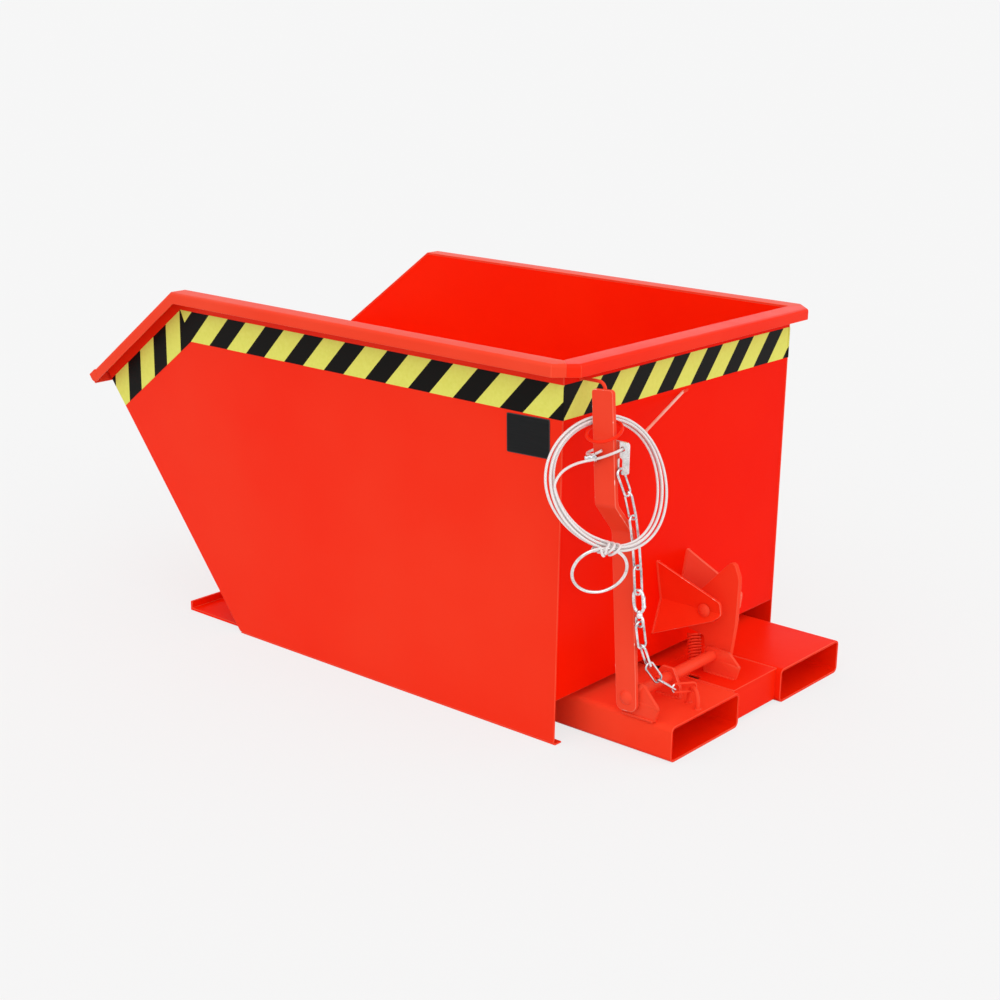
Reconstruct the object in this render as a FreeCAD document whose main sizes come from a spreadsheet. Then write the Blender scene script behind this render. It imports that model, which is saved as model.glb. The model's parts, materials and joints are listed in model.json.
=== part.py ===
"""Fork-lift tipping skip with a lever latch, built as separate named pieces.

Frame of the part, in mm: X runs along the skip, +X to the fork side, -X to the pouring lip.
Y runs across it, -Y to the lever's side. Z is up, and 0 is the floor.
Sizes that drive the shape are in the sheet "dims" and bound with expressions.
"""
import FreeCAD, Part
import math
import os
from FreeCAD import Vector, Rotation, Placement

doc = FreeCAD.newDocument("tipping_skip")
sheet = doc.addObject("Spreadsheet::Sheet", "dims")

SIZES = [
    ("rear_x", 481.0, "rear edge of the side plates"),
    ("side_y", 336.0, "outer face of a side plate"),
    ("gauge", 3.0, "sheet thickness of the skip"),
    ("wall_in", 1.0, "rear wall's face ahead of the side plates' rear edge"),
    ("rim_top", 645.0, "height over the rim"),
    ("rim_out", 35.0, "overhang of the rim"),
    ("rim_drop", 21.0, "depth of the rim's folded edge"),
    ("rim_round", 6.0, "outer radius of the rim's fold"),
    ("corner_cut", 33.0, "leg of the cut rim corner"),
    ("top_len", 895.0, "length of the level rim"),
    ("foot_len", 762.7, "length of a side plate at the floor"),
    ("slope", 37.5, "fall of the front rim, degrees"),
    ("front_lean", 39.225, "lean of the front wall from upright, degrees"),
    ("floor_z", 77.0, "underside of the skip's floor"),
    ("runner", 17.0, "width of the runner folded in under a side plate"),
    ("pocket_out", 266.5, "outer side of a fork pocket from the middle"),
    ("pocket_w", 200.0, "outer width of a fork pocket"),
    ("pocket_h", 62.7, "outer height of a fork pocket"),
    ("pocket_wall", 4.0, "wall of a fork pocket"),
    ("pocket_r", 10.0, "corner radius of a fork pocket"),
    ("pocket_back", 184.8, "fork pockets behind the side plates"),
    ("tray_out", 156.0, "tray's front end ahead of the tipping axis"),
    ("tray_clear", 2.0, "base tray inside the runners"),
    ("tray_t", 5.0, "thickness of the base tray"),
    ("tray_lip", 19.0, "height of the tray's upturned front edge"),
    ("pivot_in", 46.7, "tipping axis behind the floor's front edge"),
    ("pivot_z", 40.0, "tipping axis height"),
    ("pivot_pin_r", 10.0, "radius of the tipping pins"),
    ("running", 0.05, "radial clearance of pins and shafts"),
    ("shaft_back", 100.0, "latch shaft behind the side plates"),
    ("shaft_z", 95.0, "latch shaft height"),
    ("shaft_r", 10.0, "radius of the latch shaft"),
    ("lever_w", 40.0, "width of the lever bar"),
    ("lever_t", 8.0, "thickness of the lever bar"),
    ("hook_t", 10.0, "thickness of the latch hook"),
    ("striker_back", 92.0, "striker pin behind the side plates"),
    ("striker_z", 181.0, "striker pin height"),
    ("striker_r", 8.0, "radius of the striker pin"),
    ("rope_r", 2.25, "radius of the coated wire rope"),
    ("link_wire", 5.0, "wire of the chain"),
]
for row, (alias, value, note) in enumerate(SIZES, 1):
    sheet.set(f"A{row}", alias)
    sheet.set(f"B{row}", str(value))
    sheet.setAlias(f"B{row}", alias)
    sheet.set(f"C{row}", note)
doc.recompute()
D = {alias: float(getattr(sheet, alias)) for alias, _, _ in SIZES}

# faces and corners that several pieces share
REAR = D["rear_x"]
NEAR = -D["side_y"]
GAUGE = D["gauge"]
EDGE_TOP = D["rim_top"] - GAUGE
SLOPE = math.radians(D["slope"])
FRONT_RUN = math.tan(math.radians(D["front_lean"]))
FOOT_X = REAR - D["foot_len"]
BEND_X = REAR - D["top_len"]
WALL_X = REAR - D["wall_in"]
IN = D["side_y"] - GAUGE
OUT = D["side_y"] + D["rim_out"]
POCKET_TOP = D["pocket_h"]
POCKET_END = REAR + D["pocket_back"]
SX, SZ = REAR + D["shaft_back"], D["shaft_z"]
STX, STZ = REAR + D["striker_back"], D["striker_z"]
Y_WAY = (0, 1, 0)
pieces = []


def keep(obj, label):
    """Mark an object as a finished piece: its label names the STEP file."""
    obj.Label = label
    pieces.append(obj)
    return obj


def group(label, parts):
    """Several separate solids kept in one piece."""
    obj = doc.addObject("Part::Compound", label + "_group")
    obj.Links = parts
    return keep(obj, label)


def bound(obj, prop, value):
    """Set a number, or bind an expression on the sheet."""
    if isinstance(value, str):
        obj.setExpression(prop, value)
    else:
        setattr(obj, prop, value)


def box(name, corner, size):
    obj = doc.addObject("Part::Box", name)
    for prop, value in zip(("Length", "Width", "Height"), size):
        bound(obj, prop, value)
    obj.Placement.Base = Vector(*[0 if isinstance(v, str) else v for v in corner])
    for axis, value in zip("xyz", corner):
        if isinstance(value, str):
            obj.setExpression(f"Placement.Base.{axis}", value)
    return obj


def rod(name, start, way, radius, length):
    """A cylinder from start along way."""
    obj = doc.addObject("Part::Cylinder", name)
    obj.Placement = Placement(Vector(*start), Rotation(Vector(0, 0, 1), Vector(*way)))
    bound(obj, "Radius", radius)
    bound(obj, "Height", length)
    return obj


def torus(name, centre, normal, radius, wire):
    obj = doc.addObject("Part::Torus", name)
    bound(obj, "Radius1", radius)
    bound(obj, "Radius2", wire)
    obj.Placement = Placement(Vector(*centre), Rotation(Vector(0, 0, 1), Vector(*normal)))
    return obj


def solid(name, shape):
    """A swept or curved shape that no primitive gives."""
    obj = doc.addObject("Part::Feature", name)
    obj.Shape = shape
    return obj


def pushed(name, base, way, length):
    obj = doc.addObject("Part::Extrusion", name)
    obj.Base = base
    obj.DirMode = "Custom"
    obj.Dir = Vector(*way)
    obj.Solid = True
    bound(obj, "LengthFwd", length)
    return obj


def prism(name, points, way, length):
    """A closed outline with sharp corners pushed along way."""
    line = doc.addObject("Part::Polygon", name + "_outline")
    line.Nodes = [Vector(*p) for p in points]
    line.Close = True
    return pushed(name, line, way, length)


def flat(name, points, y, length):
    """An outline in X and Z pushed along +Y from y."""
    return prism(name, [(x, y, z) for x, z in points], Y_WAY, length)


def level(name, points, z, length):
    """An outline in X and Y pushed up from z."""
    return prism(name, [(x, y, z) for x, y in points], (0, 0, 1), length)


def arc_over(start, corner, end):
    """The arc that leaves start and reaches end along the two sides of corner, which are equally long."""
    a = (start - corner).normalize()
    b = (end - corner).normalize()
    half = math.acos(max(-1.0, min(1.0, a.dot(b)))) / 2
    radius = (start - corner).Length * math.tan(half)
    middle = corner + (a + b).normalize() * (radius / math.sin(half) - radius)
    return Part.Arc(start, middle, end).toShape()


def line_if_long(edges, a, b):
    if (b - a).Length > 1e-3:
        edges.append(Part.makeLine(a, b))


def rounded_plate(name, corners, place, way, length):
    """A closed outline pushed along way. A corner is two sizes and a radius, and place makes it a point."""
    points = [place(u, v) for u, v, _ in corners]
    count = len(points)
    starts, ends = [], []
    for i, (_, _, radius) in enumerate(corners):
        a = (points[i - 1] - points[i]).normalize()
        b = (points[(i + 1) % count] - points[i]).normalize()
        half = math.acos(max(-1.0, min(1.0, a.dot(b)))) / 2
        reach = radius / math.tan(half)
        starts.append(points[i] + a * reach)
        ends.append(points[i] + b * reach)
    edges = []
    for i in range(count):
        if corners[i][2] > 0:
            edges.append(arc_over(starts[i], points[i], ends[i]))
        line_if_long(edges, ends[i], starts[(i + 1) % count])
    face = solid(name + "_face", Part.Face(Part.Wire(edges)))
    return pushed(name, face, way, length)


def side_view(y, x_from=0.0, z_from=0.0):
    """Places for an outline in X and Z at one Y."""
    return lambda u, v: Vector(x_from + u, y, z_from + v)


def fuse(name, parts):
    obj = doc.addObject("Part::MultiFuse", name)
    obj.Shapes = parts
    obj.Refine = True
    return obj


def cut(name, base, tool):
    obj = doc.addObject("Part::Cut", name)
    obj.Base = base
    obj.Tool = tool
    obj.Refine = True
    return obj


def common(name, a, b):
    obj = doc.addObject("Part::MultiCommon", name)
    obj.Shapes = [a, b]
    obj.Refine = True
    return obj


def round_edges(name, base, radius, wanted):
    """Fillet the edges that wanted picks by their two ends."""
    doc.recompute()
    obj = doc.addObject("Part::Fillet", name)
    obj.Base = base
    picked = []
    for number, edge in enumerate(base.Shape.Edges, 1):
        ends = [v.Point for v in edge.Vertexes]
        if len(ends) == 2 and wanted(*ends):
            picked.append((number, radius, radius))
    obj.Edges = picked
    return obj


def along(axis):
    """Pick edges that run along one axis."""
    others = [k for k in "xyz" if k != axis]
    return lambda a, b: all(abs(getattr(a, k) - getattr(b, k)) < 0.01 for k in others)


def mirrored(name, source, y=0.0):
    obj = doc.addObject("Part::Mirroring", name)
    obj.Source = source
    obj.Base = Vector(0, y, 0)
    obj.Normal = Vector(*Y_WAY)
    return obj


def dome(name, x, y, z, radius, height, outward):
    """A low domed head: its flat side is at y, and it bulges along Y."""
    ball_radius = (radius * radius + height * height) / (2 * height)
    ball = doc.addObject("Part::Sphere", name + "_ball")
    ball.Radius = ball_radius
    ball.Placement.Base = Vector(x, y + outward * (height - ball_radius), z)
    return common(name, ball, rod(name + "_zone", (x, y, z), (0, outward, 0), radius, height + 1))


def tube(edges, radius):
    """A round tube along joined edges, with its volume compared with section times length."""
    wire = Part.Wire(edges)
    first = edges[0]
    start = first.valueAt(first.FirstParameter)
    ring = Part.Wire(Part.makeCircle(radius, start, first.tangentAt(first.FirstParameter)))
    shell = Part.BRepOffsetAPI.MakePipeShell(wire)
    shell.add(ring)
    shell.build()
    shell.makeSolid()
    shape = shell.shape()
    expected = math.pi * radius * radius * wire.Length
    if abs(shape.Volume / expected - 1) > 0.01:
        raise SystemExit(f"tube volume {shape.Volume:.0f}, expected {expected:.0f}")
    return shape


def bent(points, radius):
    """Straight runs joined by tangent arcs of one radius."""
    pts = [Vector(*p) for p in points]
    edges, last = [], pts[0]
    for before, here, after in zip(pts, pts[1:], pts[2:]):
        a = (before - here).normalize()
        b = (after - here).normalize()
        reach = radius / math.tan(math.acos(a.dot(b)) / 2)
        line_if_long(edges, last, here + a * reach)
        edges.append(arc_over(here + a * reach, here, here + b * reach))
        last = here + b * reach
    line_if_long(edges, last, pts[-1])
    return edges


def route(points):
    """A cord's route: runs joined by arcs as large as the runs allow. Returns the edges and the radii."""
    edges, last, radii = [], points[0], []
    for before, here, after in zip(points, points[1:], points[2:]):
        reach = 0.45 * min((before - here).Length, (after - here).Length)
        a = (before - here).normalize()
        b = (after - here).normalize()
        radii.append(reach * math.tan(math.acos(a.dot(b)) / 2))
        line_if_long(edges, last, here + a * reach)
        edges.append(arc_over(here + a * reach, here, here + b * reach))
        last = here + b * reach
    line_if_long(edges, last, points[-1])
    return edges, radii


def biarc(p, p_way, q, q_way):
    """Two arcs that join p to q and keep both directions."""
    gap = q - p
    both = p_way + q_way
    square = 2 * (p_way.dot(q_way) - 1)
    straight = -2 * gap.dot(both)
    level_part = gap.dot(gap)
    root = math.sqrt(straight * straight - 4 * square * level_part)
    reach = 2 * level_part / (-straight + root)
    first = p + p_way * reach
    second = q - q_way * reach
    middle = (first + second) * 0.5
    return [arc_over(p, first, middle), arc_over(middle, second, q)]


def wound(place, turns, lead):
    """Quarter-turn biarcs along place(turns), with a straight lead at each end."""
    small = 1e-4
    count = int(round(turns * 4))
    spots, ways = [], []
    for i in range(count + 1):
        t = turns * i / count
        spots.append(place(t))
        ways.append((place(t + small) - place(t - small)).normalize())
    edges = [Part.makeLine(spots[0] - ways[0] * lead, spots[0])]
    for i in range(count):
        edges += biarc(spots[i], ways[i], spots[i + 1], ways[i + 1])
    edges.append(Part.makeLine(spots[-1], spots[-1] + ways[-1] * lead))
    return edges, spots[-1] + ways[-1] * lead, ways[-1]


def least_gap(place, turns, radius):
    """The least clear gap between neighbouring turns, measured on points."""
    count = int(turns * 48)
    points = [place(turns * i / count) for i in range(count + 1)]
    least = 1e9
    for i, p in enumerate(points):
        for q in points[i + 30 :]:
            least = min(least, (p - q).Length - 2 * radius)
    return least


def slope_point(run, drop=0.0):
    """A place on the side view's sloping top edge: run from the bend, drop square to it."""
    c, s = math.cos(SLOPE), math.sin(SLOPE)
    return (BEND_X - run * c + drop * s, D["rim_top"] - run * s - drop * c)


def bend_point(drop):
    """A place below the rim's bend, where level and sloping parts meet."""
    return (BEND_X + drop * math.tan(SLOPE / 2), D["rim_top"] - drop)


def front_x(z):
    """The front edge of the side plates at a height."""
    return FOOT_X - FRONT_RUN * z


def run_to_front(drop):
    """How far along the slope the front edge is met."""
    x, z = slope_point(0, drop)
    return (x - FOOT_X + FRONT_RUN * z) / (math.cos(SLOPE) + FRONT_RUN * math.sin(SLOPE))


# tipping axis, under the front of the floor
front_in = GAUGE * math.hypot(1, FRONT_RUN)
FLOOR_FRONT = front_x(D["floor_z"]) + front_in
PX, PZ = FLOOR_FRONT + D["pivot_in"], D["pivot_z"]
LUG_FOOT, LUG_CLEAR = 34.0, 6.0
POCKET_FRONT = PX + LUG_FOOT + LUG_CLEAR


# base frame: fork pockets
def pocket(name, y_low):
    span = POCKET_END - POCKET_FRONT
    past = 5.0
    outer = box(name + "_outer", (POCKET_FRONT, y_low, 0.0), (span, "dims.pocket_w", "dims.pocket_h"))
    inner = box(
        name + "_inner",
        (POCKET_FRONT - past, y_low + " + dims.pocket_wall", "dims.pocket_wall"),
        (span + 2 * past, "dims.pocket_w - 2 * dims.pocket_wall", "dims.pocket_h - 2 * dims.pocket_wall"),
    )
    outer = round_edges(name + "_outer_round", outer, D["pocket_r"], along("x"))
    inner = round_edges(name + "_inner_round", inner, D["pocket_r"] - D["pocket_wall"], along("x"))
    keep(cut(name + "_tube", outer, inner), name)


pocket("fork_pocket_near", "-dims.pocket_out")
pocket("fork_pocket_far", "dims.pocket_out - dims.pocket_w")

# base frame: folded cross plate between the pockets, notched beside the spring
CROSS_T, CROSS_LEN, CROSS_SET, CROSS_FOOT = 4.0, 154.0, 10.8, 5.0
CROSS_REAR = POCKET_END - CROSS_SET
CROSS_FRONT = CROSS_REAR - CROSS_LEN
GAP_LOW = D["pocket_w"] - D["pocket_out"]
GAP = "2 * dims.pocket_out - 2 * dims.pocket_w"
cross_top = box(
    "cross_top", (CROSS_FRONT, GAP_LOW, f"dims.pocket_h - {CROSS_T}"), (CROSS_LEN, GAP, CROSS_T)
)
cross_face = box(
    "cross_face", (CROSS_REAR - CROSS_T, GAP_LOW, CROSS_FOOT), (CROSS_T, GAP, f"dims.pocket_h - {CROSS_FOOT}")
)
NOTCH_X, NOTCH_LEN, NOTCH_WIDE = 55.0, 24.0, 12.0
notch = box(
    "cross_notch",
    (CROSS_FRONT + NOTCH_X, GAP_LOW - CROSS_T, POCKET_TOP - 2 * CROSS_T),
    (NOTCH_LEN, NOTCH_WIDE + CROSS_T, 4 * CROSS_T),
)
keep(cut("cross_cut", fuse("cross_solid", [cross_top, cross_face]), notch), "rear_cross_plate")

# base frame: tray in front of the pockets, with its upturned edge
tray_front = PX - D["tray_out"]
tray_half = "dims.side_y - dims.runner - dims.tray_clear"
tray_low, tray_wide = f"-({tray_half})", f"2 * ({tray_half})"
tray_plate = box(
    "tray_plate", (tray_front, tray_low, 0.0), (POCKET_FRONT - tray_front, tray_wide, "dims.tray_t")
)
tray_edge = box("tray_edge", (tray_front, tray_low, 0.0), ("dims.tray_t", tray_wide, "dims.tray_lip"))
keep(fuse("tray_solid", [tray_plate, tray_edge]), "front_tray")

# base frame: bars that the skip's floor lies on
REST_GAP = 0.3
REST_WIDE = 50.0
REST_FRONT_IN, REST_REAR_IN = 95.0, 100.0
for name, x in (("rest_bar_front", POCKET_FRONT + REST_FRONT_IN), ("rest_bar_rear", REAR - REST_REAR_IN)):
    size = (REST_WIDE, "2 * dims.pocket_out", f"dims.floor_z - dims.pocket_h - {REST_GAP}")
    keep(box(name + "_box", (x, "-dims.pocket_out", "dims.pocket_h"), size), name)

# base frame and skip: tipping hinge, two frame lugs round each skip lug
HINGE_Y = (-212.0, 212.0)
LUG_T = 8.0
LUG_GAP = 1.0
HEAD_R, HEAD_T = 15.0, 6.0


def hinge_lug(name, y, corners, bore):
    plate = rounded_plate(name + "_plate", corners, side_view(y, PX), Y_WAY, LUG_T)
    hole = rod(name + "_hole", (PX, y - 1, PZ), Y_WAY, bore, LUG_T + 2)
    return cut(name, plate, hole)


frame_corners = [
    (-LUG_FOOT, D["tray_t"], 0), (LUG_FOOT, D["tray_t"], 0), (18, PZ + 18, 17), (-18, PZ + 18, 17)
]
skip_corners = [(-46, D["floor_z"], 0), (-21, PZ - 20, 19), (21, PZ - 20, 19), (35, D["floor_z"], 0)]
frame_lugs, skip_lugs, pins = [], [], []
for number, y in enumerate(HINGE_Y):
    for side, low in (("a", -1.5 * LUG_T - LUG_GAP), ("b", 0.5 * LUG_T + LUG_GAP)):
        frame_lugs.append(hinge_lug(f"frame_lug_{number}{side}", y + low, frame_corners, D["pivot_pin_r"]))
    skip_lugs.append(
        hinge_lug(f"skip_lug_{number}", y - LUG_T / 2, skip_corners, D["pivot_pin_r"] + D["running"])
    )
    reach = 1.5 * LUG_T + LUG_GAP
    pin = rod(f"tip_pin_{number}", (PX, y - reach, PZ), Y_WAY, "dims.pivot_pin_r", 2 * reach)
    ends = [rod(f"tip_end_{number}{k}", (PX, at, PZ), Y_WAY, HEAD_R, HEAD_T)
            for k, at in enumerate((y - reach - HEAD_T, y + reach))]
    pins.append(fuse(f"tip_pin_solid_{number}", [pin] + ends))
group("tip_lugs_frame", frame_lugs)
group("tip_pins", pins)
group("tip_lugs_skip", skip_lugs)

# base frame: lugs that carry the latch shaft
SHAFT_LUG_T = 6.0
LUG_BACK = -15.0
lug_foot = [(LUG_BACK, POCKET_TOP, 0), (50, POCKET_TOP, 0), (57, SZ - 9, 6)]
tall = lug_foot + [(24, SZ + 26, 8), (LUG_BACK, SZ + 26, 8)]
low = lug_foot + [(34, SZ + 13, 8), (LUG_BACK, SZ + 13, 8)]
narrow_foot = [(-22, POCKET_TOP, 0), (27, POCKET_TOP, 0), (25, SZ - 12, 4)]
narrow = narrow_foot + [(10, SZ + 18, 5), (-12, SZ + 18, 5), (-22, SZ + 5, 5)]
SHAFT_LUGS = (
    ("shaft_lug_lever", 68.5, tall),
    ("shaft_lug_middle", 176.0, narrow),
    ("shaft_lug_hook", 308.0, low),
)
for name, y, corners in SHAFT_LUGS:
    plate = rounded_plate(name + "_plate", corners, side_view(NEAR + y, SX), Y_WAY, SHAFT_LUG_T)
    hole = rod(name + "_hole", (SX, NEAR + y - 1, SZ), Y_WAY, "dims.shaft_r + dims.running", SHAFT_LUG_T + 2)
    keep(cut(name + "_cut", plate, hole), name)

# base frame: bent staple that holds the chain
STAPLE_X, STAPLE_Y = SX + 53.0, NEAR + 171.0
STAPLE_HALF, STAPLE_SKEW, STAPLE_TALL = 19.0, 10.0, 31.0
STAPLE_R, STAPLE_BEND = 3.8, 14.0
staple_points = [
    (STAPLE_X + side * STAPLE_HALF, STAPLE_Y - side * STAPLE_SKEW, POCKET_TOP + up)
    for side, up in ((-1, 0), (-1, STAPLE_TALL), (1, STAPLE_TALL), (1, 0))
]
keep(solid("staple_sweep", tube(bent(staple_points, STAPLE_BEND), STAPLE_R)), "chain_staple")

# skip: side plates, each with a runner folded in at its foot
lip_under = slope_point(run_to_front(GAUGE), GAUGE)
side_points = [(REAR, GAUGE), (REAR, EDGE_TOP), bend_point(GAUGE), lip_under, (front_x(GAUGE), GAUGE)]
side_near = keep(flat("side_sheet", side_points, NEAR, "dims.gauge"), "side_plate_near")
keep(mirrored("side_far_sheet", side_near), "side_plate_far")
RUNNER_PAST = 3.0
runner_size = (f"dims.rear_x + {RUNNER_PAST} - ({FOOT_X})", "dims.runner", "dims.gauge")
runner_near = keep(box("runner_strip", (FOOT_X, "-dims.side_y", 0.0), runner_size), "runner_near")
keep(mirrored("runner_far_strip", runner_near), "runner_far")

# skip: floor, rear wall and sloping front wall between the side plates
inside = "2 * dims.side_y - 2 * dims.gauge"
side_in = "dims.gauge - dims.side_y"
keep(
    box(
        "floor_sheet",
        (FLOOR_FRONT, side_in, "dims.floor_z"),
        (f"dims.rear_x - dims.wall_in - dims.gauge - ({FLOOR_FRONT})", inside, "dims.gauge"),
    ),
    "skip_floor",
)
keep(
    box(
        "rear_sheet",
        ("dims.rear_x - dims.wall_in - dims.gauge", side_in, "dims.floor_z"),
        ("dims.gauge", inside, "dims.rim_top - dims.gauge - dims.floor_z"),
    ),
    "rear_wall",
)
front_points = [
    (front_x(D["floor_z"]), D["floor_z"]),
    lip_under,
    slope_point(run_to_front(GAUGE) - GAUGE, GAUGE),
    (FLOOR_FRONT, D["floor_z"]),
]
keep(flat("front_sheet", front_points, -IN, inside), "front_wall")

# skip: folded rim along each side, with its sloping part towards the lip
LIP_BACK, LIP_AHEAD = 8.0, 12.0
DROP = D["rim_drop"]
CUT = D["corner_cut"]
rim_end = run_to_front(0) - LIP_BACK
lip_end = run_to_front(0) + LIP_AHEAD
corner_x = REAR + D["rim_out"]
mid_x, mid_y = corner_x - CUT / 2, CUT / 2 - OUT
inset = GAUGE * math.sqrt(0.5)
short = GAUGE * math.tan(math.pi / 8)


def on_fold(p):
    """True for a place on the rim's outer top edge: the sides, the cut corners, the rear and the slope."""
    outside = max(abs(p.y) - OUT, p.x - corner_x, abs(p.y) + p.x - OUT - corner_x + CUT)
    rise = p.z - D["rim_top"]
    if p.x < BEND_X:
        rise = rise * math.cos(SLOPE) - (p.x - BEND_X) * math.sin(SLOPE)
    return outside > -0.01 and abs(rise) < 0.01


def outer_fold(a, b):
    return on_fold(a) and on_fold(b)


near_flange = level(
    "near_flange",
    [(BEND_X, -IN), (BEND_X, -OUT), (corner_x - CUT, -OUT), (mid_x, mid_y), (REAR - GAUGE, -IN)],
    EDGE_TOP,
    "dims.gauge",
)
near_edge = level(
    "near_edge",
    [
        (BEND_X, -OUT),
        (corner_x - CUT, -OUT),
        (mid_x, mid_y),
        (mid_x - inset, mid_y + inset),
        (corner_x - CUT - short, GAUGE - OUT),
        (BEND_X, GAUGE - OUT),
    ],
    D["rim_top"] - DROP,
    "dims.rim_drop",
)
slope_flange = flat(
    "slope_flange",
    [slope_point(0), slope_point(rim_end), slope_point(rim_end, GAUGE), bend_point(GAUGE)],
    -OUT,
    OUT - IN,
)
slope_edge = flat(
    "slope_edge",
    [slope_point(0), slope_point(rim_end), slope_point(rim_end, DROP), bend_point(DROP)],
    -OUT,
    "dims.gauge",
)
near_fold = fuse("near_fold", [near_flange, near_edge, slope_flange, slope_edge])
near_round = round_edges("near_fold_round", near_fold, D["rim_round"], outer_fold)
rim_near = keep(near_round, "rim_near")
keep(mirrored("rim_far_solid", rim_near), "rim_far")

# skip: folded rim across the rear wall
half_flange = [(WALL_X - GAUGE, -IN), (REAR - GAUGE, -IN), (mid_x, mid_y), (corner_x, CUT - OUT)]
half_outer = [(mid_x, mid_y), (corner_x, CUT - OUT)]
half_inner = [(mid_x - inset, mid_y + inset), (corner_x - GAUGE, CUT - OUT + short)]


def both_sides(points):
    """Points on one side, then the same points mirrored in turn."""
    return points + [(x, -y) for x, y in reversed(points)]


rear_flange = level("rear_flange", both_sides(half_flange), EDGE_TOP, "dims.gauge")
rear_edge = level(
    "rear_edge",
    both_sides(half_outer) + [(x, -y) for x, y in half_inner] + list(reversed(half_inner)),
    D["rim_top"] - DROP,
    "dims.rim_drop",
)
rear_fold = fuse("rear_fold", [rear_flange, rear_edge])
keep(round_edges("rear_fold_round", rear_fold, D["rim_round"], outer_fold), "rim_rear")

# skip: folded pouring lip across the front, with closed ears
lip_in = lip_end - GAUGE
lip_top = [slope_point(rim_end), slope_point(lip_end)]
lip_corners = lip_top + [slope_point(lip_end, GAUGE), slope_point(rim_end, GAUGE)]
fold_corners = [
    slope_point(run, drop) for run, drop in ((lip_end, 0), (lip_end, DROP), (lip_in, DROP), (lip_in, 0))
]
EAR_R = 11.0


def lip_place(y):
    return lambda run, drop: Vector(slope_point(run, drop)[0], y, slope_point(run, drop)[1])


ear_corners = [(rim_end, 0, 0), (lip_end, 0, 0), (lip_end, DROP, EAR_R), (rim_end, DROP, 0)]
ears = [
    rounded_plate(name, ear_corners, lip_place(y), Y_WAY, "dims.gauge")
    for name, y in (("ear_near", -OUT), ("ear_far", OUT - GAUGE))
]
lip_flange = flat("lip_flange", lip_corners, -OUT, 2 * OUT)
lip_fold = flat("lip_fold", fold_corners, GAUGE - OUT, 2 * (OUT - GAUGE))
keep(fuse("lip_solid", [lip_flange, lip_fold] + ears), "pouring_lip")

# skip: funnel cheeks and pin that the latch hook holds
MID = NEAR + 325.5
CHEEK_T = 5.2
CHEEK_ZONE, CHEEK_DEEP = NEAR + 255.0, 60.0
at_wall = WALL_X - STX
cheek_corners = [(at_wall, -62, 0), (20, -15, 8), (31, -5, 8), (31, 20, 8), (at_wall, 71, 0)]
cheek_slab = rounded_plate("cheek_slab", cheek_corners, side_view(CHEEK_ZONE, STX, STZ), Y_WAY, CHEEK_DEEP)
fold_line = [(271.0, -65.0), (293.5, -1.0), (276.0, 74.0)]
fold_points = fold_line + [(y + CHEEK_T, z) for y, z in reversed(fold_line)]
fold_reach = D["striker_back"] + 2 * CHEEK_DEEP
cheek_fold = prism("cheek_fold", [(WALL_X, NEAR + y, STZ + z) for y, z in fold_points], (1, 0, 0), fold_reach)
pin_hole = rod("pin_hole", (STX, CHEEK_ZONE, STZ), Y_WAY, "dims.striker_r", CHEEK_DEEP)
cheek_solid = common("cheek_solid", cheek_slab, cheek_fold)
cheek_near = keep(cut("cheek_cut", cheek_solid, pin_hole), "striker_cheek_near")
keep(mirrored("cheek_far_solid", cheek_near, MID), "striker_cheek_far")
PIN_LOW = NEAR + 288.6
PIN_HIGH = 2 * MID - PIN_LOW
PIN_HEAD_R, PIN_HEAD_T = 12.0, 6.0
pin_parts = [
    rod("striker_bar", (STX, PIN_LOW, STZ), Y_WAY, "dims.striker_r", PIN_HIGH - PIN_LOW),
    dome("striker_head_near", STX, PIN_LOW, STZ, PIN_HEAD_R, PIN_HEAD_T, -1),
    dome("striker_head_far", STX, PIN_HIGH, STZ, PIN_HEAD_R, PIN_HEAD_T, 1),
]
keep(fuse("striker_solid", pin_parts), "striker_pin")

# skip: bent rod above the lever, and the rod that the rope coil hangs by
KEEPER_R, KEEPER_BEND = 2.8, 12.0
KEEPER_X, KEEPER_Y = REAR + 47.0, NEAR + 45.0
KEEPER_TOP, KEEPER_LOW = D["rim_top"] - 34.0, D["rim_top"] - 68.0
keeper_points = [
    (WALL_X, KEEPER_Y, KEEPER_TOP), (KEEPER_X, KEEPER_Y, KEEPER_TOP), (KEEPER_X, KEEPER_Y, KEEPER_LOW)
]
keep(solid("keeper_sweep", tube(bent(keeper_points, KEEPER_BEND), KEEPER_R)), "lever_keeper")
HANGER_R = 2.5
HANG_TOP, HANG_FALL = D["rim_top"] - 102.0, 28.0
hang_from = Vector(WALL_X - 4.0, NEAR + 347.0, HANG_TOP)
hang_to = Vector(REAR + 55.0, NEAR + 146.0, HANG_TOP - HANG_FALL)
hang_rod = rod("hanger_rod", hang_from, hang_to - hang_from, HANGER_R, (hang_to - hang_from).Length)
hang_knob = doc.addObject("Part::Sphere", "hanger_knob")
hang_knob.Radius = 4.0
hang_knob.Placement.Base = hang_to
ZONE = 40.0
zone_low = (WALL_X - ZONE, hang_from.y - ZONE, hang_from.z - ZONE)
wall_zone = box("hanger_zone", zone_low, (ZONE, 2 * ZONE, 2 * ZONE))
keep(cut("hanger_cut", fuse("hanger_solid", [hang_rod, hang_knob]), wall_zone), "rope_hanger")

# latch: shaft, lever and hook turn together
SHAFT_LOW, SHAFT_HIGH = NEAR + 58.0, NEAR + 336.0
keep(rod("shaft_bar", (SX, SHAFT_LOW, SZ), Y_WAY, "dims.shaft_r", SHAFT_HIGH - SHAFT_LOW), "latch_shaft")
CAP_R, CAP_T = 12.5, 6.0
keep(dome("cap_dome", SX, SHAFT_LOW, SZ, CAP_R, CAP_T, -1), "shaft_cap")

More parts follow.
